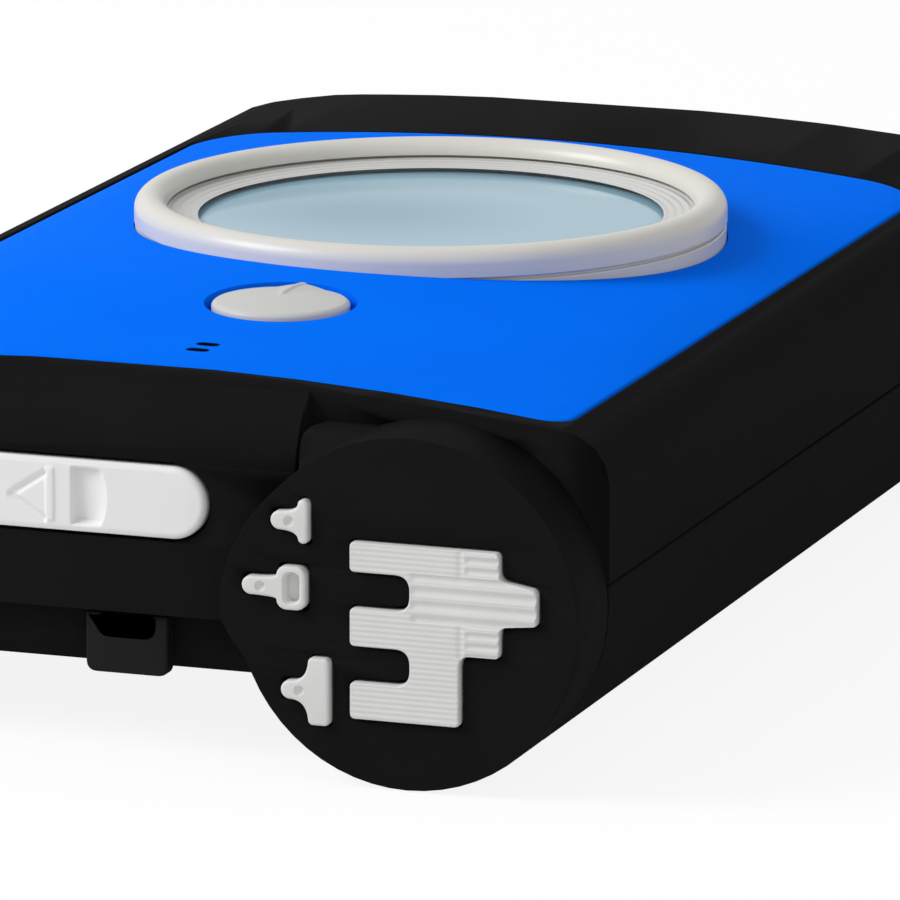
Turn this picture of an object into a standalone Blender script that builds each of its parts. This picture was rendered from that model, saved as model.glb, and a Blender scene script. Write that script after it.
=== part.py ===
"""Pocket rescue radio beacon with a round display, a thumb slide, a pointer knob and a
battery cap on the end of its battery tube.

Frame: +Z up through the display, +X to the tube side, +Y towards the rear end.
The sizes below are in millimetres, measured from the centre of the display ring (x, y) and
from the top of the face plate at its crown (z).  place() moves them to the part's own
frame, whose origin is the middle of the object's footprint, and turns them to metres.
"""
import bpy
import bmesh
import numpy as np
from math import atan2, cos, hypot, pi, radians, sin, sqrt
from mathutils import Matrix, Vector

MM = 0.001

# ---- driving sizes (mm) -------------------------------------------------------------
GAP = 0.3                # clearance between neighbouring pieces
WALL = 1.8               # shell wall
ROOF = 3.6               # top wall, which holds the face plate in a recess

BODY_LEFT = -39.0        # housing walls
BODY_RIGHT = 36.0
BODY_REAR = 59.5
BODY_FRONT = -63.5       # front wall with the slide
BODY_BOTTOM = -24.1      # flat underside of the slab
CROWN_X = -4.8           # highest line of the crowned top
CROWN_RADIUS = 282.0
REAR_CORNER = 12.0       # vertical corner radii
FRONT_CORNER = 8.0
TOP_EDGE = 4.0           # rounding along the two top side edges
REAR_TOP_EDGE = 2.5
FRONT_TOP_EDGE = 6.5
REAR_BOTTOM_EDGE = 10.0
LEFT_BOTTOM_EDGE = 6.0
SEAM_Z = -14.2           # parting line between the shells
APRON_Z = -18.8          # lower edge of the upper shell's front wall
LOWER_FRONT = -61.2      # front wall of the lower shell, set back behind the apron
LOWER_FRONT_EDGE = 3.0   # rounding of its lower front edge

TUBE_RADIUS = 14.0       # battery tube along the right side, tangent to the right wall
TUBE_Z = -16.1
TUBE_BLEND = 5.0         # concave blend from the tube to the underside
CAP_BACK = -60.0         # front face of the housing behind the cap
CAP_STEP_X = 11.4        # where the front wall steps back for the cap

CAP_FRONT = -67.5        # battery cap
CAP_EDGE = 1.6           # rounding of the cap's front edge
CAP_LOBE = 1.45          # finger lobe on the cap's left side
CAP_LOBE_START = 130.0   # its angles, counter-clockwise from +X
CAP_LOBE_PEAK = 184.0
CAP_LOBE_END = 201.0
EAR_TOP_Z = -2.9         # square ear behind the cap's rim, level with the housing's top
EAR_DEPTH = 5.4
EAR_CORNER = 1.2
CAP_FLOOR = 2.6          # thickness of the cap's front wall
SPIGOT_RADIUS = 11.8
SPIGOT_WALL = 1.6
SPIGOT_LENGTH = 5.4
SPIGOT_HOLE_CLEARANCE = 0.6
O_RING_SECTION = 0.65    # radius of the cap seal's section
INLAY_PROUD = 0.6        # rubber grip and marks set in the cap's front
INLAY_SINK = 0.6
INLAY_GAP = 0.2
# each mark: height above the tube's axis, then from the tube's left edge the head's left
# and right and the stem's left, and the head's half-height
MARKS = {"cap_mark_top": (6.85, 5.2, 6.1, 3.0, 1.75),
         "cap_mark_middle": (1.5, 3.4, 5.9, 0.6, 1.75),
         "cap_mark_bottom": (-6.6, 6.0, 7.8, 3.8, 2.7)}
MARK_STEM = 0.75         # half-height of a mark's stem
MARK_CORNER = 0.5
MARK_HOLLOW = (1.1, 2.1, 0.8)    # oval in the middle mark: width, height, depth
# grip, measured from the tube's axis
GRIP_LEFT = -4.5         # ends of the three prongs
GRIP_SLOT = 0.4          # inner end of the two slots between them
GRIP_LEDGE = 4.5         # right end of the lowest prong
GRIP_RIGHT = 7.75
GRIP_TIP = 10.8
GRIP_TOP = 5.6
GRIP_LEDGE_TOP = -2.8
GRIP_BOTTOM = -8.5
GRIP_TIP_HEIGHT = (-0.3, 0.0, 2.9, 3.4)      # lower root, lower end, upper end, upper root
GRIP_SLOTS = ((0.35, 3.2), (-5.55, -2.7))    # lower and upper side of each slot
GRIP_CORNER = 0.4
GRIP_SLOT_CORNER = 1.2

PLATE_LEFT = -34.9       # coloured face plate
PLATE_RIGHT = 31.5
PLATE_REAR = 40.0
PLATE_FRONT = -57.5
PLATE_REAR_CORNER = 6.0
PLATE_FRONT_CORNER = 2.2
PLATE_THICKNESS = 1.2

RING_RADIUS = 24.84      # display bezel
RING_WIDTH = 2.74        # of its rounded rim
RING_TOP = 3.2
RING_ROUND = 1.35        # height of the rim's rounding
RING_SEAT = -2.6         # flat seat cut in the roof
RING_FOOT = 0.9          # height above which the wall stands proud of its foot
RING_FOOT_SETBACK = 0.45
BEZEL_REBATE = 0.8       # step under the rim that holds the reflector
BEZEL_LEDGE = 1.25       # from the rim's top down to that step
REFLECTOR_WIDTH = 2.0    # from the bezel's bore to the window's edge
REFLECTOR_LIP = 0.5
WINDOW_REBATE = 1.1      # reflector's ledge over the window's edge
WINDOW_TOP = 0.9
WINDOW_CHAMFER = 0.3
WINDOW_THICKNESS = 1.2
REFLECTOR_STEPS = 4
ROOF_LEDGE = 0.6         # of the roof inside the rim, under the display
DISPLAY_BOARD_THICKNESS = 1.2
SCREEN_SIZE = (22.0, 16.0)
LED_COUNT = 6
LED_INSET = 2.4          # from the window's edge to the lamps' middle
LED_SIZE = (2.0, 1.2)
HEADER_SIZE = (20.0, 3.0)        # connector between the two boards
HEADER_INSET = 8.0      # from the edge of the roof's opening to the connector

KNOB_Y = -36.0           # pointer knob
KNOB_RADIUS = 5.6
KNOB_RIM_Z = 0.9
KNOB_DOME = 0.55
KNOB_WELL_DEPTH = 0.5
KNOB_RIDGE = (1.0, 5.2, 0.7)     # half-width, length, height of the pointer
SHAFT_RADIUS = 1.4
SHAFT_DEPTH = 3.0        # of the shaft in the rotary switch
KNOB_SOCKET_DEPTH = 0.7
KNOB_SEAL_SECTION = 0.5
KNOB_SEAL_DEPTH = 1.7    # of the seal's pocket below the plate's recess
ROTARY_SWITCH = (8.0, 8.0)

SLOT_COUNT = 2           # sound slots in the face plate
SLOT_SIZE = (1.9, 0.6)
SLOT_PITCH = 1.9
SLOT_X = -0.9
SLOT_Y = -50.1
SOUND_HOLE_RADIUS = 1.9
SPEAKER_RADIUS = 4.6
SPEAKER_HEIGHT = 3.0
SPEAKER_RIM = 1.0
GASKET_WIDTH = 0.8
GASKET_HEIGHT = 3.0

SLIDE_RIGHT = 4.1        # thumb slide
SLIDE_LENGTH = 24.0
SLIDE_HEIGHT = 5.8
SLIDE_Z = -9.65
SLIDE_PROUD = 0.5
SLIDE_POCKET = 1.0       # depth of its pocket in the front wall
SLIDE_TRAVEL = 6.5
SCOOP_X = -6.3           # thumb scoop
SCOOP_WIDTH = 2.6
SCOOP_DEPTH = 0.7
STEM_LENGTH = 6.0
STEM_HEIGHT = 2.4
CARRIAGE_HEIGHT = 4.6
CARRIAGE_OVERHANG = 2.0
CARRIAGE_THICKNESS = 0.9
SLIDE_SWITCH = (11.0, 3.6, 3.0)

BOARD_TOP = -9.0         # main circuit board
BOARD_THICKNESS = 1.6
BOARD_FRONT = -56.0
BOARD_MARGIN = 1.5       # from the shell's inner wall
# each chip: x, y, width, depth, height
CHIPS = {"processor_chip": (-24.0, -20.0, 9.0, 9.0, 1.4),
         "radio_chip": (-16.0, 28.0, 7.0, 5.0, 1.2),
         "power_chip": (8.0, 36.0, 10.0, 6.0, 1.6)}

CELL_RADIUS = 7.25       # AA battery cell
CELL_LENGTH = 49.5
CELL_FRONT = -60.6
CELL_NUB = (2.6, 1.0)    # radius, height of the plus pole
HOLDER_WALL = 1.5
HOLDER_CLEARANCE = 0.6
HOLDER_FRONT = -57.6
RIB = 1.6                # cradle rib thickness
SPRING_TURNS = 2.5       # conical spring between the cap's contact and the cell
SPRING_WIRE = 0.35
SPRING_WIDE = 6.2
SPRING_NARROW = 3.6
PLUS_CONTACT = (5.0, 0.6)        # radius, thickness
MINUS_CONTACT = (7.5, 0.5)

ROD_RADIUS = 4.0         # ferrite antennas
ROD_Z = -16.5
COIL_WALL = 0.9
LONG_ROD = (-30.5, -38.0, 32.0)      # x, front, rear
LONG_COIL = (-22.0, 14.0)
CROSS_ROD = (41.0, -22.0, 12.0)      # y, left, right
CROSS_COIL = (-14.0, 4.0)
UPRIGHT = (22.0, 24.0)               # x, y
UPRIGHT_ROD_RADIUS = 4.0
UPRIGHT_COIL_HEIGHT = 9.0

SCREW_PLACES = ((-31.5, -50.5), (-31.5, 47.5), (5.0, -44.5), (2.5, 49.5))
SCREW_RADIUS = 1.1
SCREW_HEAD = (2.3, 1.6)  # radius, height
SCREW_COUNTERBORE = 2.0  # depth of the head's pocket
SCREW_GRIP = 6.0         # length in the upper boss
BOSS_RADIUS = 3.3

EYELET_LEFT = -6.5       # lanyard eyelet under the front wall
EYELET_RIGHT = 0.4
EYELET_BOTTOM = -24.0
EYELET_THICKNESS = 1.3
EYELET_LEG = 1.25
EYELET_BAR = 3.2

# ---- derived places (mm) ------------------------------------------------------------
TUBE_X = BODY_RIGHT - TUBE_RADIUS
LOWEST = TUBE_Z - TUBE_RADIUS
FOOTPRINT_MIDDLE = (CAP_FRONT - INLAY_PROUD + BODY_REAR) / 2
ORIGIN = Vector(((BODY_LEFT + BODY_RIGHT) / 2, FOOTPRINT_MIDDLE, LOWEST))
HOLE_RADIUS = SPIGOT_RADIUS + SPIGOT_HOLE_CLEARANCE
HOLDER_INNER = CELL_RADIUS + HOLDER_CLEARANCE
HOLDER_OUTER = HOLDER_INNER + HOLDER_WALL
CELL_REAR = CELL_FRONT + CELL_LENGTH
HOLDER_REAR = CELL_REAR + CELL_NUB[1] + GAP + PLUS_CONTACT[1] + GAP + HOLDER_WALL
RING_INNER_RADIUS = RING_RADIUS - RING_WIDTH
RING_BORE = RING_INNER_RADIUS + BEZEL_REBATE
WINDOW_RADIUS = RING_BORE - GAP - REFLECTOR_WIDTH
WINDOW_SIGHT_RADIUS = WINDOW_RADIUS - WINDOW_REBATE
ROOF_OPENING = RING_INNER_RADIUS - ROOF_LEDGE
LED_CIRCLE = WINDOW_RADIUS - LED_INSET
SLIDE_MIDDLE = SLIDE_RIGHT - SLIDE_LENGTH / 2
FAR = 200.0              # longer than the object


def crown(x):
    """Height of the crowned top at x: a shallow arc across the width."""
    return CROWN_RADIUS * (sqrt(1.0 - ((x - CROWN_X) / CROWN_RADIUS) ** 2) - 1.0)


# ---- scene ----------------------------------------------------------------------------
for old in list(bpy.data.objects):
    bpy.data.objects.remove(old, do_unlink=True)
beacon = bpy.data.collections.new("pocket_beacon")
cutters = bpy.data.collections.new("cutters")
bpy.context.scene.collection.children.link(beacon)
bpy.context.scene.collection.children.link(cutters)


def material(name, colour, roughness, metallic=0.0, alpha=1.0):
    """One Principled finish."""
    made = bpy.data.materials.new(name)
    made.use_nodes = True
    shader = made.node_tree.nodes["Principled BSDF"]
    shader.inputs["Base Color"].default_value = (*colour, 1.0)
    shader.inputs["Roughness"].default_value = roughness
    shader.inputs["Metallic"].default_value = metallic
    shader.inputs["Alpha"].default_value = alpha
    return made


BLACK = (0.011, 0.011, 0.012)
WHITE = (0.72, 0.72, 0.70)
FERRITE = (0.05, 0.05, 0.055)
COPPER = (0.60, 0.24, 0.10)
STEEL = (0.55, 0.55, 0.56)


# ---- making and placing solids -----------------------------------------------------------
def place(made):
    """Take a mesh from display-centred millimetres to the part's frame in metres."""
    made.data.transform(Matrix.Scale(MM, 4) @ Matrix.Translation(-ORIGIN))
    return made


def add_object(name, mesh, home=None):
    made = bpy.data.objects.new(name, mesh)
    (home or cutters).objects.link(made)
    if home is None:
        made.hide_render = True
        made.display_type = "WIRE"
    return made


def finish(made, look):
    """Move a made piece from the cutters to the model and give it its finish."""
    cutters.objects.unlink(made)
    beacon.objects.link(made)
    made.hide_render = False
    made.display_type = "TEXTURED"
    made.data.materials.clear()
    made.data.materials.append(look)
    return made


def flat_outline(name, points, low, high, plane):
    """Solid from a flat outline, drawn as a 2D curve and extruded from low to high.
    plane XY rises along z, XZ runs along y, YZ runs along x."""
    curve = bpy.data.curves.new(name, "CURVE")
    curve.dimensions = "2D"
    curve.fill_mode = "BOTH"
    curve.extrude = (high - low) / 2
    spline = curve.splines.new("POLY")
    spline.points.add(len(points) - 1)
    for point, (u, v) in zip(spline.points, points):
        point.co = (u, v, 0.0, 1.0)
    spline.use_cyclic_u = True
    drawn = bpy.data.objects.new(name + "_outline", curve)
    bpy.context.scene.collection.objects.link(drawn)
    turns = {"XY": Matrix(((1, 0, 0), (0, 1, 0), (0, 0, 1))),
             "XZ": Matrix(((1, 0, 0), (0, 0, -1), (0, 1, 0))),
             "YZ": Matrix(((0, 0, 1), (1, 0, 0), (0, 1, 0)))}
    middle = (low + high) / 2
    shifts = {"XY": (0, 0, middle), "XZ": (0, middle, 0), "YZ": (middle, 0, 0)}
    bpy.context.view_layer.update()
    graph = bpy.context.evaluated_depsgraph_get()
    mesh = bpy.data.meshes.new_from_object(drawn.evaluated_get(graph))
    mesh.transform(Matrix.Translation(shifts[plane]) @ turns[plane].to_4x4())
    weld(mesh)
    bpy.data.objects.remove(drawn)
    return place(add_object(name, mesh))


def weld(mesh):
    """Join the loose caps of a curve's mesh and point its faces out."""
    work = bmesh.new()
    work.from_mesh(mesh)
    bmesh.ops.remove_doubles(work, verts=work.verts, dist=0.0001)
    bmesh.ops.recalc_face_normals(work, faces=work.faces)
    work.to_mesh(mesh)
    work.free()


def block(name, low, high):
    """Box between two corners."""
    work = bmesh.new()
    bmesh.ops.create_cube(work, size=1.0)
    size = Vector(high) - Vector(low)
    centre = (Vector(high) + Vector(low)) / 2
    bmesh.ops.transform(work, matrix=Matrix.Translation(centre) @ Matrix.Diagonal((*size, 1)),
                        verts=work.verts)
    mesh = bpy.data.meshes.new(name)
    work.to_mesh(mesh)
    work.free()
    return place(add_object(name, mesh))


def cylinder(name, radius, start, end, sides=48, end_radius=None):
    """Round bar or cone between two points on its axis."""
    start, end = Vector(start), Vector(end)
    axis = end - start
    work = bmesh.new()
    bmesh.ops.create_cone(work, cap_ends=True, segments=sides, radius1=radius,
                          radius2=radius if end_radius is None else end_radius,
                          depth=axis.length)
    turn = axis.to_track_quat("Z", "Y").to_matrix().to_4x4()
    bmesh.ops.transform(work, matrix=Matrix.Translation((start + end) / 2) @ turn,
                        verts=work.verts)
    mesh = bpy.data.meshes.new(name)
    work.to_mesh(mesh)
    work.free()
    soften(mesh)
    return place(add_object(name, mesh))


def turned(name, profile, centre, axis="Z", steps=64):
    """Closed profile of (radius, height) points, outer side top to bottom, turned about
    an axis through centre with a Screw modifier.  A profile may touch the axis."""
    mesh = bpy.data.meshes.new(name)
    points = [(r, 0.0, h) for r, h in profile]
    closed = min(r for r, _ in profile) > 0
    edges = [(i, i + 1) for i in range(len(points) - 1)]
    if closed:
        edges.append((len(points) - 1, 0))
    mesh.from_pydata(points, edges, [])
    made = add_object(name, mesh)
    screw = made.modifiers.new("turn", "SCREW")
    screw.steps = steps
    screw.render_steps = steps
    screw.use_merge_vertices = True
    screw.merge_threshold = 0.0001
    bpy.context.view_layer.update()
    graph = bpy.context.evaluated_depsgraph_get()
    solid = bpy.data.meshes.new_from_object(made.evaluated_get(graph))
    bpy.data.objects.remove(made)
    turn = Matrix.Identity(4) if axis == "Z" else Matrix.Rotation(radians(90), 4, "X")
    solid.transform(Matrix.Translation(centre) @ turn)
    weld(solid)
    soften(solid)
    return place(add_object(name, solid))


def soften(mesh, angle=35.0):
    mesh.shade_smooth()
    mesh.set_sharp_from_angle(angle=radians(angle))


def combine(made, other, operation="DIFFERENCE"):
    """Cut, join or intersect with another solid through a Boolean modifier."""
    step = made.modifiers.new(other.name, "BOOLEAN")
    step.object = other
    step.operation = operation
    step.solver = "EXACT"
    return made


def settled(made):
    """Replace a piece's mesh by its evaluated one, so that what follows starts clean."""
    bpy.context.view_layer.update()
    graph = bpy.context.evaluated_depsgraph_get()
    mesh = bpy.data.meshes.new_from_object(made.evaluated_get(graph))
    made.modifiers.clear()
    made.data = mesh
    return made


def set_origin(made, point):
    """Put a moving piece's origin on its joint axis, with its shape where it was."""
    pivot = (Vector(point) - ORIGIN) * MM
    made.data.transform(Matrix.Translation(-pivot))
    made.location = pivot
    return made


# ---- outlines (mm) ------------------------------------------------------------------------
def arc(centre, radius, start, end, steps):
    """Points on an arc, angles in degrees."""
    return [(centre[0] + radius * cos(radians(a)), centre[1] + radius * sin(radians(a)))
            for a in np.linspace(start, end, steps + 1)]


def offset(points, distance):
    """Outline moved outwards by a distance, with its corners mitred.  The points run
    counter-clockwise."""
    moved = []
    for i, here in enumerate(points):
        before, after = points[i - 1], points[(i + 1) % len(points)]
        into = np.array(here) - before
        out = np.array(after) - here
        into /= hypot(*into)
        out /= hypot(*out)
        first = np.array((into[1], -into[0]))
        second = np.array((out[1], -out[0]))
        mitre = (first + second) / (1.0 + float(first @ second))
        moved.append((here[0] + distance * mitre[0], here[1] + distance * mitre[1]))
    return moved


def rounded(points, radius, steps=4):
    """Outline with its corners rounded, each by no more than its sides allow.  radius is
    one number, or a list with one for each corner."""
    radii = radius if isinstance(radius, list) else [radius] * len(points)
    path = []
    for i, here in enumerate(points):
        before, after = np.array(points[i - 1]), np.array(points[(i + 1) % len(points)])
        here = np.array(here, dtype=float)
        into, out = before - here, after - here
        reach_in, reach_out = hypot(*into), hypot(*out)
        into /= reach_in
        out /= reach_out
        half = 0.5 * np.arccos(np.clip(float(into @ out), -1.0, 1.0))
        run = min(radii[i] / np.tan(half), 0.48 * reach_in, 0.48 * reach_out)
        start, end = here + into * run, here + out * run
        for t in np.linspace(0.0, 1.0, steps + 1):
            # a quadratic curve through the corner keeps the sides tangent
            point = (1 - t) ** 2 * start + 2 * t * (1 - t) * here + t ** 2 * end
            path.append((float(point[0]), float(point[1])))
    return path


def box_outline(left, right, low, high):
    return [(left, low), (right, low), (right, high), (left, high)]


def stadium(left, right, middle, height, steps=8):
    """Long outline with round ends."""
    r = height / 2
    return (arc((right - r, middle), r, -90, 90, steps)
            + arc((left + r, middle), r, 90, 270, steps))


def section_outline(inset, roof):
    """Cross-section of the housing: crowned top, right wall running into the round tube,
    a concave blend to the flat underside, and a rounded left side.  inset moves the sides
    inwards and roof lowers the top."""
    left, right = BODY_LEFT + inset, BODY_RIGHT - inset
    bottom = BODY_BOTTOM + inset
    edge = max(TOP_EDGE - inset, 0.6)
    low_edge = LEFT_BOTTOM_EDGE - inset
    tube = TUBE_RADIUS - inset
    blend = TUBE_BLEND + inset
    top_right = crown(right - edge) - roof
    top_left = crown(left + edge) - roof
    points = arc((left + edge, top_left - edge), edge, 180, 90, 4)
    points += [(x, crown(x) - roof) for x in np.linspace(left + edge, right - edge, 10)[1:-1]]
    points += arc((right - edge, top_right - edge), edge, 90, 0, 4)
    blend_drop = TUBE_Z - (BODY_BOTTOM - TUBE_BLEND)
    blend_run = sqrt((TUBE_RADIUS + TUBE_BLEND) ** 2 - blend_drop ** 2)
    blend_x = TUBE_X - blend_run
    meet = 180.0 + np.degrees(atan2(blend_drop, blend_run))
    points += arc((TUBE_X, TUBE_Z), tube, 360, meet, 16)
    points += arc((blend_x, BODY_BOTTOM - TUBE_BLEND), blend, meet - 180.0, 90, 4)[1:]
    points += arc((left + low_edge, bottom + low_edge), low_edge, 270, 180, 3)
    return points


def plan_outline(inset, front):
    """Outline from above: round rear corners, the front wall and its step for the cap."""
    left, right = BODY_LEFT + inset, BODY_RIGHT - inset
    rear_r, front_r = REAR_CORNER - inset, FRONT_CORNER - inset
    rear, wall = BODY_REAR - inset, front + inset
    points = arc((right - rear_r, rear - rear_r), rear_r, 0, 90, 6)
    points += arc((left + rear_r, rear - rear_r), rear_r, 90, 180, 6)
    points += arc((left + front_r, wall + front_r), front_r, 180, 270, 4)
    points += [(CAP_STEP_X - inset, wall), (CAP_STEP_X - inset, CAP_BACK + inset),
               (right, CAP_BACK + inset)]
    return points


def side_outline(inset, roof, front):
    """Outline from the side: rounded rear end and front top edge."""
    top, low = 0.0 - roof, LOWEST + inset
    rear, wall = BODY_REAR - inset, front + inset
    rear_top = max(REAR_TOP_EDGE - inset, 0.6)
    rear_low = REAR_BOTTOM_EDGE - inset
    front_top = FRONT_TOP_EDGE - inset
    points = arc((rear - rear_low, low + rear_low), rear_low, -90, 0, 5)
    points += arc((rear - rear_top, top - rear_top), rear_top, 0, 90, 4)
    points += arc((wall + front_top, top - front_top), front_top, 90, 180, 6)
    points += [(wall, low)]
    return points


def housing_form(name, inset, roof, front):
    """Solid housing: its cross-section, plan and side outlines meet in one body."""
    form = flat_outline(name, section_outline(inset, roof), -FAR, FAR, "XZ")
    plan = flat_outline(name + "_plan", plan_outline(inset, front), -FAR, FAR, "XY")
    side = flat_outline(name + "_side", side_outline(inset, roof, front), -FAR, FAR, "YZ")
    combine(form, plan, "INTERSECT")
    combine(form, side, "INTERSECT")
    return settled(form)


def cap_outline(grow):
    """The cap seen from the front: the tube's circle with a finger lobe on its left.  The
    lobe's radius swells slowly from the top and drops back quickly below its peak."""
    points = []
    for angle in np.arange(0.0, 360.0, 6.0):
        if CAP_LOBE_START < angle <= CAP_LOBE_PEAK:
            share = (angle - CAP_LOBE_START) / (CAP_LOBE_PEAK - CAP_LOBE_START)
        elif CAP_LOBE_PEAK < angle < CAP_LOBE_END:
            share = (CAP_LOBE_END - angle) / (CAP_LOBE_END - CAP_LOBE_PEAK)
        else:
            share = 0.0
        radius = TUBE_RADIUS + grow + CAP_LOBE * share * share * (3.0 - 2.0 * share)
        points.append((TUBE_X + radius * cos(radians(angle)),
                       TUBE_Z + radius * sin(radians(angle))))
    return points


def grip_outline(grow):
    """Ribbed grip on the cap: three prongs to the left, a ledge, a shoulder and a tip to the
    right.  The slots' inner corners are rounder than the rest."""
    root_low, end_low, end_high, root_high = GRIP_TIP_HEIGHT
    points = [(GRIP_LEFT, GRIP_BOTTOM), (GRIP_LEDGE, GRIP_BOTTOM), (GRIP_LEDGE, GRIP_LEDGE_TOP),
              (GRIP_RIGHT, GRIP_LEDGE_TOP), (GRIP_RIGHT, root_low), (GRIP_TIP, end_low),
              (GRIP_TIP, end_high), (GRIP_RIGHT, root_high), (GRIP_RIGHT, GRIP_TOP),
              (GRIP_LEFT, GRIP_TOP)]
    corners = [GRIP_CORNER + grow] * len(points)
    for low, high in GRIP_SLOTS:
        points += [(GRIP_LEFT, high), (GRIP_SLOT, high), (GRIP_SLOT, low), (GRIP_LEFT, low)]
        slot_corner = GRIP_SLOT_CORNER - grow
        corners += [GRIP_CORNER + grow, slot_corner, slot_corner, GRIP_CORNER + grow]
    points = [(TUBE_X + x, TUBE_Z + z) for x, z in points]
    return rounded(offset(points, grow), corners, 2)


def mark_outline(above, head_left, head_right, stem_left, half, grow):
    """Small raised mark: a head with a stem to its left."""
    edge, middle = TUBE_X - TUBE_RADIUS, TUBE_Z + above
    head_left, head_right, stem_left = edge + head_left, edge + head_right, edge + stem_left
    points = [(stem_left, middle - MARK_STEM), (head_left, middle - MARK_STEM),
              (head_left + GAP, middle - half), (head_right, middle - half),
              (head_right, middle + half), (head_left + GAP, middle + half),
              (head_left, middle + MARK_STEM), (stem_left, middle + MARK_STEM)]
    return rounded(offset(points, grow), MARK_CORNER, 2)


# ---- shells ---------------------------------------------------------------------------------
black_plastic = material("black_plastic", BLACK, 0.55)
housing = housing_form("housing_form", 0.0, 0.0, BODY_FRONT)
lower_housing = housing_form("lower_housing_form", 0.0, 0.0, LOWER_FRONT)
cavity = housing_form("cavity", WALL, ROOF, BODY_FRONT)
lower_cavity = housing_form("lower_cavity", WALL, ROOF, LOWER_FRONT)


def cradle(name, y_or_x, along, axis_place, radius, reach):
    """Rib across the cavity with a round seat for a bar or tube."""
    if along == "Y":
        rib = block(name, (axis_place[0] - reach, y_or_x - RIB / 2, -FAR),
                    (axis_place[0] + reach, y_or_x + RIB / 2, axis_place[1]))
        seat = cylinder(name + "_seat", radius + GAP, (axis_place[0], y_or_x - 3, axis_place[1]),
                        (axis_place[0], y_or_x + 3, axis_place[1]))
    else:
        rib = block(name, (y_or_x - RIB / 2, axis_place[0] - reach, -FAR),
                    (y_or_x + RIB / 2, axis_place[0] + reach, axis_place[1]))
        seat = cylinder(name + "_seat", radius + GAP, (y_or_x - 3, axis_place[0], axis_place[1]),
                        (y_or_x + 3, axis_place[0], axis_place[1]))
    return combine(rib, seat)


ribs = []
for y in (HOLDER_FRONT + 10.0, HOLDER_REAR - 8.0):
    ribs.append(cradle("holder_rib", y, "Y", (TUBE_X, TUBE_Z), HOLDER_OUTER, FAR / 10))
for y in (LONG_ROD[1] + 4.0, LONG_ROD[2] - 4.0):
    ribs.append(cradle("long_rib", y, "Y", (LONG_ROD[0], ROD_Z), ROD_RADIUS, 6.5))
for x in (CROSS_ROD[1] + 2.5, CROSS_ROD[2] - 2.5):
    ribs.append(cradle("cross_rib", x, "X", (CROSS_ROD[0], ROD_Z), ROD_RADIUS, 6.5))
for rib in ribs:
    combine(lower_cavity, rib)

for x, y in SCREW_PLACES:
    combine(cavity, cylinder("upper_boss", BOSS_RADIUS, (x, y, SEAM_Z), (x, y, 5.0), 16))
    combine(lower_cavity, cylinder("lower_boss", BOSS_RADIUS, (x, y, -FAR), (x, y, SEAM_Z), 16))
settled(cavity)
settled(lower_cavity)

upper_zone = flat_outline("upper_zone", [
    (LOWER_FRONT - GAP, SEAM_Z), (FAR, SEAM_Z), (FAR, FAR), (-FAR, FAR), (-FAR, APRON_Z),
    (LOWER_FRONT - GAP, APRON_Z)], -FAR, FAR, "YZ")
lower_zone = block("lower_zone", (-FAR, -FAR, -FAR), (FAR, FAR, SEAM_Z - GAP))
tube_hole = cylinder("tube_hole", HOLE_RADIUS, (TUBE_X, CAP_BACK - 20, TUBE_Z),
                     (TUBE_X, CAP_BACK + SPIGOT_LENGTH + 2 * GAP, TUBE_Z), 48)
cap_clearance = flat_outline("cap_clearance", cap_outline(GAP), -FAR, CAP_BACK, "XZ")

upper_shell = housing
upper_shell.name = "upper_shell"
combine(upper_shell, cavity)
combine(upper_shell, upper_zone, "INTERSECT")
combine(upper_shell, tube_hole)
combine(upper_shell, cap_clearance)

lower_shell = lower_housing
lower_shell.name = "lower_shell"
edge_far = LOWER_FRONT + LOWER_FRONT_EDGE
edge_centre = (edge_far, BODY_BOTTOM + LOWER_FRONT_EDGE)
low_edge_cut = flat_outline("low_edge_cut", arc(edge_centre, LOWER_FRONT_EDGE, 180, 270, 5) + [
    (edge_far, -FAR), (-FAR, -FAR), (-FAR, edge_centre[1])], -FAR, CAP_STEP_X, "YZ")
combine(lower_shell, low_edge_cut)
combine(lower_shell, lower_cavity)
combine(lower_shell, lower_zone, "INTERSECT")
combine(lower_shell, tube_hole)
combine(lower_shell, cap_clearance)
settled(upper_shell)
settled(lower_shell)

# ---- face plate and its recess --------------------------------------------------------------
def crowned_slab(name, outline, low, high):
    """Slab that follows the crown, low and high being measured from the crowned top."""
    xs = np.linspace(BODY_LEFT - 5, BODY_RIGHT + 5, 16)
    band = [(x, crown(x) + low) for x in xs] + [(x, crown(x) + high) for x in xs[::-1]]
    slab = flat_outline(name, band, -FAR, FAR, "XZ")
    combine(slab, flat_outline(name + "_plan", outline, -FAR, FAR, "XY"), "INTERSECT")
    return settled(slab)


def plate_outline(grow):
    left, right = PLATE_LEFT - grow, PLATE_RIGHT + grow
    front, rear = PLATE_FRONT - grow, PLATE_REAR + grow
    back, fore = PLATE_REAR_CORNER + grow, PLATE_FRONT_CORNER + grow
    return (arc((right - back, rear - back), back, 0, 90, 6)
            + arc((left + back, rear - back), back, 90, 180, 6)
            + arc((left + fore, front + fore), fore, 180, 270, 4)
            + arc((right - fore, front + fore), fore, 270, 360, 4))


recess = crowned_slab("plate_recess", plate_outline(GAP), -PLATE_THICKNESS - GAP, 10.0)
combine(upper_shell, recess)

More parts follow.
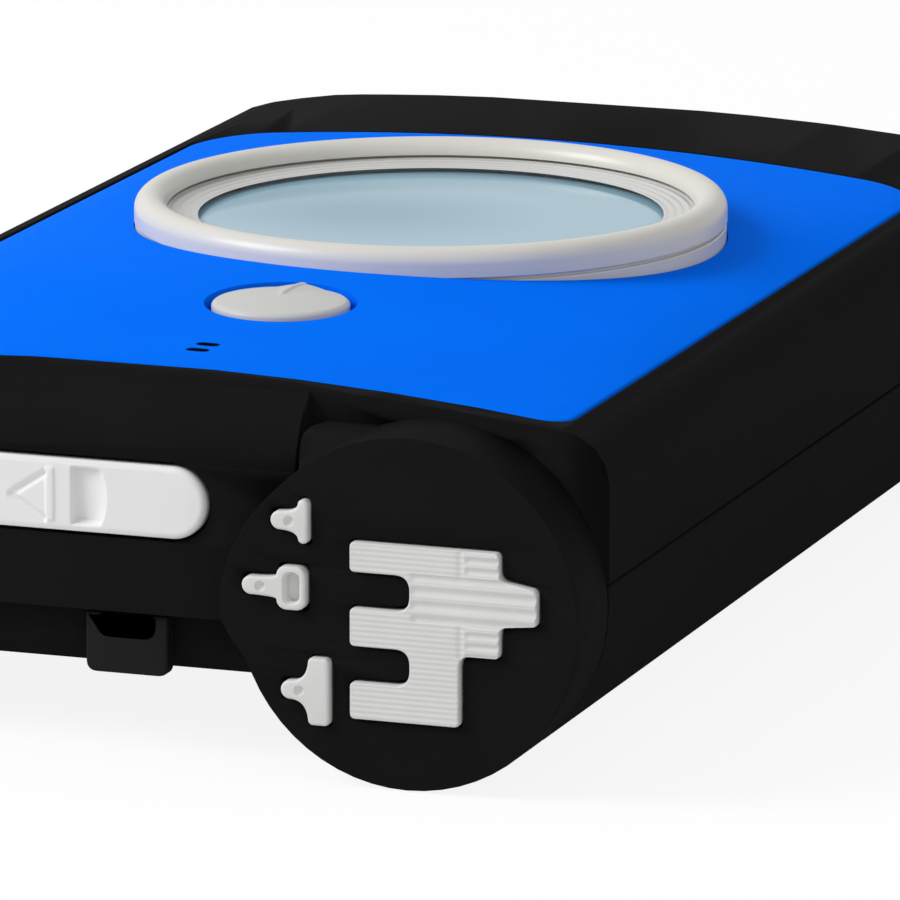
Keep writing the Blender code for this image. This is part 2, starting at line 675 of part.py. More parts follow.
blue_plate = material("blue_plate", (0.0, 0.15, 1.0), 0.35)
face_plate = crowned_slab("face_plate", plate_outline(0.0), -PLATE_THICKNESS, 0.0)
combine(face_plate, cylinder("plate_ring_hole", RING_RADIUS + GAP, (0, 0, -9), (0, 0, 9), 56))
combine(face_plate, cylinder("knob_well", KNOB_RADIUS + 2 * GAP, (0, KNOB_Y, -KNOB_WELL_DEPTH),
                             (0, KNOB_Y, 9), 32))
shaft_hole = cylinder("shaft_hole", SHAFT_RADIUS + GAP, (0, KNOB_Y, -9), (0, KNOB_Y, 9), 20)
combine(face_plate, shaft_hole)
for i in range(SLOT_COUNT):
    y = SLOT_Y - i * SLOT_PITCH
    slot = flat_outline("sound_slot", stadium(SLOT_X - SLOT_SIZE[0] / 2 - 0.15 * i,
                                              SLOT_X + SLOT_SIZE[0] / 2 - 0.15 * i, y,
                                              SLOT_SIZE[1], 4), -9, 9, "XY")
    combine(face_plate, slot)
settled(face_plate)
finish(face_plate, blue_plate)

# openings of the roof below the plate
combine(upper_shell, cylinder("ring_seat", RING_RADIUS + GAP, (0, 0, RING_SEAT), (0, 0, 9), 56))
combine(upper_shell, cylinder("roof_opening", ROOF_OPENING, (0, 0, -9), (0, 0, 9), 48))
combine(upper_shell, shaft_hole)
seal_floor = -PLATE_THICKNESS - GAP - KNOB_SEAL_DEPTH
seal_seat = cylinder("seal_seat", SHAFT_RADIUS + 2 * KNOB_SEAL_SECTION + 2 * GAP,
                     (0, KNOB_Y, seal_floor), (0, KNOB_Y, 9), 24)
combine(upper_shell, seal_seat)
sound_middle = SLOT_Y - SLOT_PITCH * (SLOT_COUNT - 1) / 2
combine(upper_shell, cylinder("sound_hole", SOUND_HOLE_RADIUS, (SLOT_X, sound_middle, -9),
                              (SLOT_X, sound_middle, 9), 16))

# ---- thumb slide on the front wall ----------------------------------------------------------
pocket = flat_outline("slide_pocket", stadium(
    SLIDE_RIGHT - SLIDE_LENGTH - SLIDE_TRAVEL - GAP, SLIDE_RIGHT + GAP, SLIDE_Z,
    SLIDE_HEIGHT + 2 * GAP, 10), BODY_FRONT - 5, BODY_FRONT + SLIDE_POCKET, "XZ")
combine(upper_shell, pocket)
stem_slot = flat_outline("stem_slot", stadium(
    SLIDE_MIDDLE - STEM_LENGTH / 2 - SLIDE_TRAVEL - GAP, SLIDE_MIDDLE + STEM_LENGTH / 2 + GAP,
    SLIDE_Z, STEM_HEIGHT + 2 * GAP, 6), BODY_FRONT - 5, BODY_FRONT + WALL + 1, "XZ")
combine(upper_shell, stem_slot)

white_plastic = material("white_plastic", WHITE, 0.4)
slide_back = BODY_FRONT + SLIDE_POCKET - GAP
slide_plate = flat_outline("slide_plate", stadium(SLIDE_RIGHT - SLIDE_LENGTH, SLIDE_RIGHT, SLIDE_Z,
                                                  SLIDE_HEIGHT, 10),
                           BODY_FRONT - SLIDE_PROUD, slide_back, "XZ")
stem = flat_outline("slide_stem", stadium(SLIDE_MIDDLE - STEM_LENGTH / 2,
                                          SLIDE_MIDDLE + STEM_LENGTH / 2, SLIDE_Z, STEM_HEIGHT, 6),
                    slide_back - 0.2, BODY_FRONT + WALL + GAP, "XZ")
combine(slide_plate, stem, "UNION")
# the thumb scoop is a steep wall on the left that eases out to the right
scoop = flat_outline("thumb_scoop", [
    (SCOOP_X - SCOOP_WIDTH / 2, BODY_FRONT - 9), (SCOOP_X - SCOOP_WIDTH / 2,
     BODY_FRONT - SLIDE_PROUD + SCOOP_DEPTH),
    (SCOOP_X, BODY_FRONT - SLIDE_PROUD + SCOOP_DEPTH * 0.7),
    (SCOOP_X + SCOOP_WIDTH, BODY_FRONT - SLIDE_PROUD - 0.01),
    (SCOOP_X + SCOOP_WIDTH, BODY_FRONT - 9)], SLIDE_Z - SLIDE_HEIGHT * 0.42,
    SLIDE_Z + SLIDE_HEIGHT * 0.42, "XY")
combine(slide_plate, scoop)
settled(slide_plate)
finish(slide_plate, white_plastic)

carriage_front = BODY_FRONT + WALL + 2 * GAP
slide_carriage = flat_outline("slide_carriage", rounded(box_outline(
    SLIDE_MIDDLE - STEM_LENGTH / 2 - CARRIAGE_OVERHANG,
    SLIDE_MIDDLE + STEM_LENGTH / 2 + CARRIAGE_OVERHANG,
    SLIDE_Z - CARRIAGE_HEIGHT / 2, SLIDE_Z + CARRIAGE_HEIGHT / 2), 0.6),
    carriage_front, carriage_front + CARRIAGE_THICKNESS, "XZ")
finish(slide_carriage, material("carriage_plastic", (0.1, 0.1, 0.1), 0.4))

switch_front = carriage_front + CARRIAGE_THICKNESS + GAP
slide_switch = block("slide_switch", (SLIDE_MIDDLE - SLIDE_SWITCH[0] / 2, switch_front,
                                      BOARD_TOP + GAP),
                     (SLIDE_MIDDLE + SLIDE_SWITCH[0] / 2, switch_front + SLIDE_SWITCH[1],
                      BOARD_TOP + GAP + SLIDE_SWITCH[2]))
finish(slide_switch, material("switch_case", (0.02, 0.02, 0.02), 0.5))

# ---- screws and their holes -----------------------------------------------------------------
head_seat = BODY_BOTTOM + SCREW_COUNTERBORE
screw_top = SEAM_Z + SCREW_GRIP
screw_steel = material("screw_steel", STEEL, 0.35, 1.0)
for number, (x, y) in enumerate(SCREW_PLACES, 1):
    hole = cylinder("screw_hole", SCREW_RADIUS + GAP, (x, y, -FAR), (x, y, screw_top + GAP), 12)
    combine(lower_shell, hole)
    combine(upper_shell, hole)
    combine(lower_shell, cylinder("screw_counterbore", SCREW_HEAD[0] + GAP, (x, y, -FAR),
                                  (x, y, head_seat), 16))
    head_top = head_seat - GAP
    head_bottom = head_top - SCREW_HEAD[1]
    screw = cylinder(f"housing_screw_{number}", SCREW_HEAD[0], (x, y, head_bottom),
                     (x, y, head_top), 16)
    shank = cylinder("screw_shank", SCREW_RADIUS, (x, y, head_top - 0.2), (x, y, screw_top), 12)
    combine(screw, shank, "UNION")
    combine(screw, cylinder("screw_drive", 1.0, (x, y, head_bottom - 1),
                            (x, y, head_bottom + 0.9), 6))
    settled(screw)
    finish(screw, screw_steel)

# ---- lanyard eyelet -------------------------------------------------------------------------
eyelet_front = LOWER_FRONT - GAP - EYELET_THICKNESS
eyelet_top = APRON_Z - GAP
slot_low = EYELET_BOTTOM + EYELET_BAR
eyelet = flat_outline("lanyard_eyelet", rounded([
    (EYELET_LEFT, EYELET_BOTTOM), (EYELET_RIGHT, EYELET_BOTTOM), (EYELET_RIGHT, eyelet_top),
    (EYELET_RIGHT - EYELET_LEG, eyelet_top), (EYELET_RIGHT - EYELET_LEG, slot_low),
    (EYELET_LEFT + EYELET_LEG, slot_low), (EYELET_LEFT + EYELET_LEG, eyelet_top),
    (EYELET_LEFT, eyelet_top)], 0.6, 3), eyelet_front, LOWER_FRONT - GAP, "XZ")
finish(eyelet, material("eyelet_plastic", (0.03, 0.03, 0.03), 0.5))
cord_space = block("cord_space", (EYELET_LEFT + EYELET_LEG, LOWER_FRONT - 5, -FAR),
                   (EYELET_RIGHT - EYELET_LEG, LOWER_FRONT + WALL - 0.7, APRON_Z + 1.5))
combine(lower_shell, cord_space)

settled(upper_shell)
settled(lower_shell)
finish(upper_shell, black_plastic)
finish(lower_shell, black_plastic)

# ---- gasket inside the seam -----------------------------------------------------------------
gasket_inset = WALL + GAP
gasket = flat_outline("housing_gasket", plan_outline(gasket_inset, LOWER_FRONT),
                      SEAM_Z - GASKET_HEIGHT / 2, SEAM_Z + GASKET_HEIGHT / 2, "XY")
combine(gasket, flat_outline("gasket_inside", plan_outline(gasket_inset + GASKET_WIDTH, LOWER_FRONT),
                             -FAR, FAR, "XY"))
combine(gasket, cylinder("gasket_tube_gap", HOLE_RADIUS + GAP, (TUBE_X, CAP_BACK - 5, TUBE_Z),
                         (TUBE_X, CAP_BACK + 2 * SPIGOT_LENGTH, TUBE_Z)))
for x, y in SCREW_PLACES:
    combine(gasket, cylinder("gasket_boss_gap", BOSS_RADIUS + GAP, (x, y, -FAR), (x, y, FAR), 16))
for rib in ribs:
    combine(gasket, rib)
settled(gasket)
finish(gasket, material("grey_rubber", (0.09, 0.09, 0.09), 0.8))

# ---- display: bezel, stepped reflector, window, screen, lamps -------------------------------
ring_bottom = RING_SEAT + GAP
foot_radius = RING_RADIUS - RING_FOOT_SETBACK
ledge_z = RING_TOP - BEZEL_LEDGE


def rim(angles):
    """Points on the half-oval that rounds the bezel's top."""
    middle = RING_RADIUS - RING_WIDTH / 2
    return [(middle + RING_WIDTH / 2 * cos(a), RING_TOP - RING_ROUND + RING_ROUND * sin(a))
            for a in angles]


bezel_profile = rim(np.linspace(pi / 2, 0, 5))
bezel_profile += [(foot_radius, RING_FOOT), (foot_radius, ring_bottom), (RING_BORE, ring_bottom),
                  (RING_BORE, ledge_z), (RING_INNER_RADIUS, ledge_z)]
bezel_profile += rim(np.linspace(pi * 0.94, pi * 0.6, 3))
pale_plastic = material("pale_plastic", (0.62, 0.61, 0.58), 0.35)
finish(turned("display_bezel", bezel_profile, (0, 0, 0), steps=56), pale_plastic)

# the reflector steps down from the bezel to the window, like a shallow stair
reflector_outer = RING_BORE - GAP
reflector_top = ledge_z - GAP
sight_bottom = WINDOW_TOP + GAP
treads = np.linspace(WINDOW_SIGHT_RADIUS, reflector_outer - REFLECTOR_LIP, REFLECTOR_STEPS + 1)
heights = np.linspace(sight_bottom + GAP / 3, reflector_top, REFLECTOR_STEPS + 1)
stair = [(treads[0], heights[0])]
for i in range(REFLECTOR_STEPS):
    stair += [(treads[i + 1], heights[i]), (treads[i + 1], heights[i + 1])]
reflector_profile = [(reflector_outer, reflector_top), (reflector_outer, ring_bottom),
                     (WINDOW_RADIUS + GAP, ring_bottom), (WINDOW_RADIUS + GAP, sight_bottom),
                     (WINDOW_SIGHT_RADIUS, sight_bottom)] + stair
finish(turned("display_reflector", reflector_profile, (0, 0, 0), steps=48), pale_plastic)

window_bottom = WINDOW_TOP - WINDOW_THICKNESS
window = turned("display_window", [(0, WINDOW_TOP), (WINDOW_RADIUS - WINDOW_CHAMFER, WINDOW_TOP),
                                   (WINDOW_RADIUS, WINDOW_TOP - WINDOW_CHAMFER),
                                   (WINDOW_RADIUS, window_bottom), (0, window_bottom)],
                (0, 0, 0), steps=48)
finish(window, material("window_tint", (0.36, 0.50, 0.58), 0.08, 0.0, 0.85))

board_low = ring_bottom - GAP - DISPLAY_BOARD_THICKNESS
display_board = cylinder("display_board", ROOF_OPENING - GAP, (0, 0, board_low),
                         (0, 0, board_low + DISPLAY_BOARD_THICKNESS), 32)
circuit_green = material("circuit_green", (0.02, 0.12, 0.05), 0.4)
finish(display_board, circuit_green)
lamp_low = ring_bottom
screen = block("display_screen", (-SCREEN_SIZE[0] / 2, -SCREEN_SIZE[1] / 2, lamp_low),
               (SCREEN_SIZE[0] / 2, SCREEN_SIZE[1] / 2, window_bottom - GAP))
finish(screen, material("screen_glass", (0.30, 0.36, 0.34), 0.15))
lamp_red = material("lamp_red", (0.55, 0.05, 0.03), 0.25)
for i in range(LED_COUNT):
    turn = 2 * pi * (i + 0.5) / LED_COUNT
    lamp = block(f"display_lamp_{i + 1}", (LED_CIRCLE - LED_SIZE[0] / 2, -LED_SIZE[1] / 2, lamp_low),
                 (LED_CIRCLE + LED_SIZE[0] / 2, LED_SIZE[1] / 2, window_bottom - 2 * GAP))
    axis = -ORIGIN * MM
    lamp.data.transform(Matrix.Translation(axis) @ Matrix.Rotation(turn, 4, "Z")
                        @ Matrix.Translation(-axis))
    finish(lamp, lamp_red)

# ---- circuit boards and what they carry -----------------------------------------------------
inner_left = BODY_LEFT + WALL + BOARD_MARGIN
inner_right = BODY_RIGHT - WALL - BOARD_MARGIN
inner_rear = BODY_REAR - WALL - BOARD_MARGIN
holder_side = TUBE_X - HOLDER_OUTER - 1.0
holder_end = HOLDER_REAR + 2.0
board = flat_outline("main_board", rounded([
    (inner_left, BOARD_FRONT), (holder_side, BOARD_FRONT), (holder_side, holder_end),
    (inner_right, holder_end), (inner_right, inner_rear), (inner_left, inner_rear)], 7.0, 4),
    BOARD_TOP - BOARD_THICKNESS, BOARD_TOP, "XY")
for x, y in SCREW_PLACES:
    combine(board, cylinder("board_boss_gap", BOSS_RADIUS + GAP, (x, y, -FAR), (x, y, FAR), 16))
settled(board)
finish(board, circuit_green)

header_width, header_depth = HEADER_SIZE
header_y = ROOF_OPENING - HEADER_INSET
header = block("board_header", (-header_width / 2, header_y - header_depth / 2, BOARD_TOP + GAP),
               (header_width / 2, header_y + header_depth / 2, board_low - GAP))
finish(header, material("header_plastic", (0.015, 0.015, 0.015), 0.5))

chip_black = material("chip_black", (0.02, 0.02, 0.022), 0.45)
for name, (x, y, width, depth, height) in CHIPS.items():
    chip = block(name, (x - width / 2, y - depth / 2, BOARD_TOP + GAP),
                 (x + width / 2, y + depth / 2, BOARD_TOP + GAP + height))
    finish(chip, chip_black)

speaker_top = -ROOF - 2 * GAP
loudspeaker = turned("loudspeaker", [(0, speaker_top),
                                     (SPEAKER_RADIUS - SPEAKER_RIM, speaker_top - 0.1),
                                     (SPEAKER_RADIUS - SPEAKER_RIM / 2, speaker_top),
                                     (SPEAKER_RADIUS, speaker_top - 0.2),
                                     (SPEAKER_RADIUS, speaker_top - SPEAKER_HEIGHT),
                                     (0, speaker_top - SPEAKER_HEIGHT)],
                     (SLOT_X, sound_middle, 0), steps=24)
finish(loudspeaker, material("speaker_metal", (0.35, 0.35, 0.36), 0.4, 0.8))

# ---- ferrite antennas, one for each direction -----------------------------------------------
ferrite = material("ferrite", FERRITE, 0.6)
copper = material("copper_winding", COPPER, 0.35, 0.9)
winding_inner = ROD_RADIUS + GAP
winding_outer = winding_inner + COIL_WALL


def winding(name, centre, axis, low, high):
    """Coil pack on a rod: a thick tube with slightly rounded ends."""
    profile = [(winding_inner, high), (winding_outer - 0.2, high), (winding_outer, high - 0.3),
               (winding_outer, low + 0.3), (winding_outer - 0.2, low), (winding_inner, low)]
    if axis == "Z":
        return turned(name, profile, centre, "Z", 18)
    profile = [(r, -h) for r, h in profile][::-1]
    made = turned(name, profile, (0, 0, 0) if axis == "X" else centre, "Y", 18)
    if axis == "X":
        home = (Vector((0, 0, 0)) - ORIGIN) * MM
        spot = (Vector(centre) - ORIGIN) * MM
        made.data.transform(Matrix.Translation(spot) @ Matrix.Rotation(radians(-90), 4, "Z")
                            @ Matrix.Translation(-home))
    return made


finish(cylinder("antenna_long_rod", ROD_RADIUS, (LONG_ROD[0], LONG_ROD[1], ROD_Z),
                (LONG_ROD[0], LONG_ROD[2], ROD_Z), 20), ferrite)
finish(winding("antenna_long_winding", (LONG_ROD[0], 0, ROD_Z), "Y", *LONG_COIL), copper)
finish(cylinder("antenna_cross_rod", ROD_RADIUS, (CROSS_ROD[1], CROSS_ROD[0], ROD_Z),
                (CROSS_ROD[2], CROSS_ROD[0], ROD_Z), 20), ferrite)
finish(winding("antenna_cross_winding", (0, CROSS_ROD[0], ROD_Z), "X", *CROSS_COIL), copper)
upright_low = TUBE_Z - sqrt((TUBE_RADIUS - WALL) ** 2 - UPRIGHT_ROD_RADIUS ** 2) + 2 * GAP
upright_high = BOARD_TOP - BOARD_THICKNESS - 0.6
finish(cylinder("antenna_upright_rod", UPRIGHT_ROD_RADIUS, (*UPRIGHT, upright_low),
                (*UPRIGHT, upright_high), 20), ferrite)
finish(winding("antenna_upright_winding", (*UPRIGHT, 0), "Z",
               (upright_low + upright_high - UPRIGHT_COIL_HEIGHT) / 2,
               (upright_low + upright_high + UPRIGHT_COIL_HEIGHT) / 2), copper)

# ---- battery holder, cell and contacts ------------------------------------------------------
holder_mesh = cylinder("battery_holder", HOLDER_OUTER, (TUBE_X, HOLDER_FRONT, TUBE_Z),
                       (TUBE_X, HOLDER_REAR, TUBE_Z), 28)
combine(holder_mesh, cylinder("holder_bore", HOLDER_INNER, (TUBE_X, HOLDER_FRONT - 5, TUBE_Z),
                              (TUBE_X, HOLDER_REAR - HOLDER_WALL, TUBE_Z), 28))
settled(holder_mesh)
finish(holder_mesh, material("holder_plastic", (0.06, 0.06, 0.065), 0.5))

cell = turned("battery_cell", [(0, -CELL_FRONT), (CELL_RADIUS - 0.5, -CELL_FRONT),
                               (CELL_RADIUS, -CELL_FRONT - 0.5), (CELL_RADIUS, -CELL_REAR + 0.5),
                               (CELL_RADIUS - 0.5, -CELL_REAR), (CELL_NUB[0], -CELL_REAR),
                               (CELL_NUB[0], -CELL_REAR - CELL_NUB[1]),
                               (0, -CELL_REAR - CELL_NUB[1])],
              (TUBE_X, 0, TUBE_Z), "Y", 24)
finish(cell, material("cell_jacket", (0.30, 0.31, 0.33), 0.35, 0.6))
plus_front = CELL_REAR + CELL_NUB[1] + GAP
contact_metal = material("contact_metal", (0.62, 0.58, 0.50), 0.3, 1.0)
finish(cylinder("plus_contact", PLUS_CONTACT[0], (TUBE_X, plus_front, TUBE_Z),
                (TUBE_X, plus_front + PLUS_CONTACT[1], TUBE_Z), 20), contact_metal)

# ---- battery cap with its grip, marks, seal and spring --------------------------------------
cap_back = CAP_BACK - GAP
battery_cap = flat_outline("battery_cap", cap_outline(0.0), CAP_FRONT, cap_back, "XZ")
bevel = battery_cap.modifiers.new("front_edge", "BEVEL")
bevel.width = CAP_EDGE * MM
bevel.segments = 3
bevel.limit_method = "ANGLE"
bevel.angle_limit = radians(60)
settled(battery_cap)
# the bevel also rounds the back edge; a plain disc fills it again
back_disc = flat_outline("cap_back_disc", cap_outline(0.0), cap_back - CAP_EDGE - 0.5, cap_back,
                         "XZ")
combine(battery_cap, back_disc, "UNION")
ear_left = CAP_STEP_X + GAP
ear = flat_outline("cap_ear", rounded(box_outline(ear_left, TUBE_X, TUBE_Z, EAR_TOP_Z), EAR_CORNER, 3),
                   cap_back - EAR_DEPTH, cap_back, "XZ")
ear_slope = flat_outline("ear_slope", arc((BODY_FRONT + FRONT_TOP_EDGE, -FRONT_TOP_EDGE),
                                          FRONT_TOP_EDGE, 180, 90, 8)
                         + [(FAR, 0), (FAR, -FAR), (BODY_FRONT, -FAR)], -FAR, FAR, "YZ")
combine(ear, ear_slope, "INTERSECT")
combine(battery_cap, settled(ear), "UNION")
spigot = cylinder("spigot", SPIGOT_RADIUS, (TUBE_X, cap_back - 0.5, TUBE_Z),
                  (TUBE_X, cap_back + SPIGOT_LENGTH, TUBE_Z), 48)
combine(battery_cap, spigot, "UNION")
cap_floor = CAP_FRONT + CAP_FLOOR
combine(battery_cap, cylinder("cap_bore", SPIGOT_RADIUS - SPIGOT_WALL, (TUBE_X, cap_floor, TUBE_Z),
                              (TUBE_X, FAR, TUBE_Z), 32))
seal_y = CAP_BACK + WALL / 2
seal_centre = HOLE_RADIUS - GAP - O_RING_SECTION
groove_half = O_RING_SECTION + GAP
groove_floor = seal_centre - O_RING_SECTION - GAP
groove = turned("seal_groove", [(FAR / 10, groove_half), (FAR / 10, -groove_half),
                                (groove_floor, -groove_half), (groove_floor, groove_half)],
                (TUBE_X, seal_y, TUBE_Z), "Y", 48)
combine(battery_cap, groove)
inlay_front, inlay_back = CAP_FRONT - INLAY_PROUD, CAP_FRONT + INLAY_SINK
pockets = [flat_outline("grip_pocket", grip_outline(INLAY_GAP), CAP_FRONT - 5, inlay_back + GAP, "XZ")]
for name, values in MARKS.items():
    pockets.append(flat_outline(name + "_pocket", mark_outline(*values, INLAY_GAP), CAP_FRONT - 5,
                                inlay_back + GAP, "XZ"))
for sunk in pockets:
    combine(battery_cap, sunk)
settled(battery_cap)
finish(battery_cap, black_plastic)

pale_rubber = material("pale_rubber", (0.66, 0.66, 0.63), 0.5)
finish(flat_outline("cap_grip", grip_outline(0.0), inlay_front, inlay_back, "XZ"), pale_rubber)
for name, values in MARKS.items():
    mark = flat_outline(name, mark_outline(*values, 0.0), inlay_front, inlay_back, "XZ")
    if name == "cap_mark_middle":
        above, head_left, head_right = values[:3]
        hollow_x = TUBE_X - TUBE_RADIUS + (head_left + head_right) / 2 + GAP / 2
        width, height, depth = MARK_HOLLOW
        hollow = rounded(box_outline(hollow_x - width / 2, hollow_x + width / 2,
                                     TUBE_Z + above - height / 2, TUBE_Z + above + height / 2),
                         width / 2, 3)
        combine(mark, flat_outline("mark_hollow", hollow, inlay_front - 1, inlay_front + depth, "XZ"))
        settled(mark)
    finish(mark, pale_rubber)

seal_profile = [(seal_centre + O_RING_SECTION * cos(a), O_RING_SECTION * sin(a))
                for a in np.linspace(pi / 2, -3 * pi / 2, 7)[:-1]]
black_rubber = material("black_rubber", (0.02, 0.02, 0.02), 0.7)
finish(turned("cap_seal", seal_profile, (TUBE_X, seal_y, TUBE_Z), "Y", 36), black_rubber)

minus_rear = cap_floor + GAP + MINUS_CONTACT[1]
finish(cylinder("minus_contact", MINUS_CONTACT[0], (TUBE_X, cap_floor + GAP, TUBE_Z),
                (TUBE_X, minus_rear, TUBE_Z), 20), contact_metal)

spring_front = minus_rear + GAP + SPRING_WIRE
spring_rear = CELL_FRONT - GAP - SPRING_WIRE
curve = bpy.data.curves.new("battery_spring", "CURVE")
curve.dimensions = "3D"
curve.bevel_depth = SPRING_WIRE
curve.bevel_resolution = 1
curve.use_fill_caps = True
count = int(SPRING_TURNS * 12)
spline = curve.splines.new("POLY")
spline.points.add(count)
for i, point in enumerate(spline.points):
    share = i / count
    angle = 2 * pi * SPRING_TURNS * share
    radius = SPRING_WIDE + (SPRING_NARROW - SPRING_WIDE) * share
    point.co = (TUBE_X + radius * cos(angle), spring_front + (spring_rear - spring_front) * share,
                TUBE_Z + radius * sin(angle), 1.0)
wound = bpy.data.objects.new("battery_spring_curve", curve)
bpy.context.scene.collection.objects.link(wound)
bpy.context.view_layer.update()
spring_mesh = bpy.data.meshes.new_from_object(
    wound.evaluated_get(bpy.context.evaluated_depsgraph_get()))
bpy.data.objects.remove(wound)
weld(spring_mesh)
finish(place(add_object("battery_spring", spring_mesh)), contact_metal)

# ---- pointer knob, its shaft, seal and switch -----------------------------------------------
knob_bottom = -KNOB_WELL_DEPTH + GAP
dome = [(KNOB_RADIUS * s, KNOB_RIM_Z + KNOB_DOME * (1 - s * s)) for s in np.linspace(0, 0.93, 5)]
knob = turned("mode_knob", dome + [(KNOB_RADIUS, KNOB_RIM_Z - 0.25), (KNOB_RADIUS, knob_bottom),
                                   (0, knob_bottom)], (0, KNOB_Y, 0), steps=32)
ridge_width, ridge_length, ridge_height = KNOB_RIDGE
ridge = flat_outline("knob_ridge", [
    (-ridge_width, KNOB_RIM_Z), (ridge_width, KNOB_RIM_Z),
    (0.18, KNOB_RIM_Z + KNOB_DOME + ridge_height * 0.8),
    (-0.18, KNOB_RIM_Z + KNOB_DOME + ridge_height * 0.8)], KNOB_Y - 0.4, KNOB_Y + ridge_length, "XZ")
combine(knob, ridge, "UNION")
combine(knob, cylinder("knob_socket", SHAFT_RADIUS + GAP, (0, KNOB_Y, -5),
                       (0, KNOB_Y, knob_bottom + KNOB_SOCKET_DEPTH), 24))
settled(knob)
finish(knob, white_plastic)

rotary_top = -ROOF - 2 * GAP
shaft_low = rotary_top - SHAFT_DEPTH
finish(cylinder("knob_shaft", SHAFT_RADIUS, (0, KNOB_Y, shaft_low),
                (0, KNOB_Y, knob_bottom + KNOB_SOCKET_DEPTH - GAP), 24),
       material("shaft_steel", STEEL, 0.3, 1.0))
rotary = block("rotary_switch", (-ROTARY_SWITCH[0] / 2, KNOB_Y - ROTARY_SWITCH[1] / 2, BOARD_TOP + GAP),
               (ROTARY_SWITCH[0] / 2, KNOB_Y + ROTARY_SWITCH[1] / 2, rotary_top))
combine(rotary, cylinder("rotary_bore", SHAFT_RADIUS + GAP, (0, KNOB_Y, shaft_low - GAP),
                         (0, KNOB_Y, 0), 24))
settled(rotary)
finish(rotary, material("rotary_case", (0.03, 0.05, 0.09), 0.45))
knob_seal_z = seal_floor + GAP + KNOB_SEAL_SECTION
knob_seal_centre = SHAFT_RADIUS + GAP + KNOB_SEAL_SECTION
finish(turned("knob_seal", [(knob_seal_centre + KNOB_SEAL_SECTION * cos(a),
                             knob_seal_z + KNOB_SEAL_SECTION * sin(a))
                            for a in np.linspace(pi / 2, -3 * pi / 2, 7)[:-1]],
              (0, KNOB_Y, 0), steps=24), black_rubber)

# ---- joint origins --------------------------------------------------------------------------
for name in ("mode_knob", "knob_shaft"):
    set_origin(bpy.data.objects[name], (0, KNOB_Y, KNOB_RIM_Z))
for name in ("slide_plate", "slide_carriage"):
    set_origin(bpy.data.objects[name], (SLIDE_MIDDLE, BODY_FRONT, SLIDE_Z))
for name in ("battery_cap", "cap_grip", "cap_mark_top", "cap_mark_middle", "cap_mark_bottom",
             "cap_seal", "minus_contact", "battery_spring"):
    set_origin(bpy.data.objects[name], (TUBE_X, CAP_BACK, TUBE_Z))
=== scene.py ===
"""Looks of the pocket rescue radio beacon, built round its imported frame.

Sizes are in millimetres from the centre of the display ring (x, y) and from the top of
the face plate at its crown (z); real() turns them to the frame's metres.
"""
import bpy
import bmesh
import numpy as np
from mathutils import Matrix, Vector


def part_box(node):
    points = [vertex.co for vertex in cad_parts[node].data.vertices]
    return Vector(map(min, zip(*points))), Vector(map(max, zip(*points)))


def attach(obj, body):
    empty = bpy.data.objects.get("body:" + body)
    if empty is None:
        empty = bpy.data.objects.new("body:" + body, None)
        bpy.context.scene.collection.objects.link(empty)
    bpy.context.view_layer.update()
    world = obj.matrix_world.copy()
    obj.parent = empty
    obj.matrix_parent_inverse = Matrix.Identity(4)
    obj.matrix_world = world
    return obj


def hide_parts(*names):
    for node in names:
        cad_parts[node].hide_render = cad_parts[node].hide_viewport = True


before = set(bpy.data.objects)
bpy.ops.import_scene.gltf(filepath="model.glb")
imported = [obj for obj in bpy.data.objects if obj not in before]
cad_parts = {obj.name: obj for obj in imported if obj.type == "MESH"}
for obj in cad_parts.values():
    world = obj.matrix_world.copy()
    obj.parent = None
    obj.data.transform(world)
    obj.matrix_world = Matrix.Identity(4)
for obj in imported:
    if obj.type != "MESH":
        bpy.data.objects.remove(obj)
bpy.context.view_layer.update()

# ---- The two housing shells ---------------------------------------------------------
# Black glass-filled nylon, injection moulded in a spark-eroded mould, so fine matt grain.
# The upper one carries the face plate in a recess; the lower one runs into the battery
# tube.  Their finish goes on smoothly shaded copies of the solids.
MM = 0.001
RING_TOP = 3.2
low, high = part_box("display_bezel")
RING = np.array([(low.x + high.x) / 2, (low.y + high.y) / 2, high.z - RING_TOP * MM])
BODY_RIGHT, BODY_FRONT, LOWER_FRONT = 36.0, -63.5, -61.2
WALL, GAP = 1.8, 0.3
TUBE_RADIUS, TUBE_Z = 14.0, -16.1
TUBE_X = BODY_RIGHT - TUBE_RADIUS
LARGE_FACES = 85


def real(points):
    """Ring-centred millimetres to the frame's metres."""
    return RING + np.asarray(points, float) * MM


def add(name, mesh):
    """Put a mesh in the scene as an object at the origin."""
    made = bpy.data.objects.new(name, mesh)
    bpy.context.scene.collection.objects.link(made)
    return made


def settle(made, sharp=32.0):
    """Merge doubles, drop empty faces, point the faces out and shade smooth between
    edges that turn more than the angle."""
    work = bmesh.new()
    work.from_mesh(made.data)
    bmesh.ops.remove_doubles(work, verts=work.verts, dist=2e-7)
    bmesh.ops.dissolve_degenerate(work, edges=work.edges, dist=1e-7)
    bmesh.ops.recalc_face_normals(work, faces=work.faces)
    work.to_mesh(made.data)
    work.free()
    made.data.shade_smooth()
    made.data.set_sharp_from_angle(angle=np.radians(sharp))
    return made


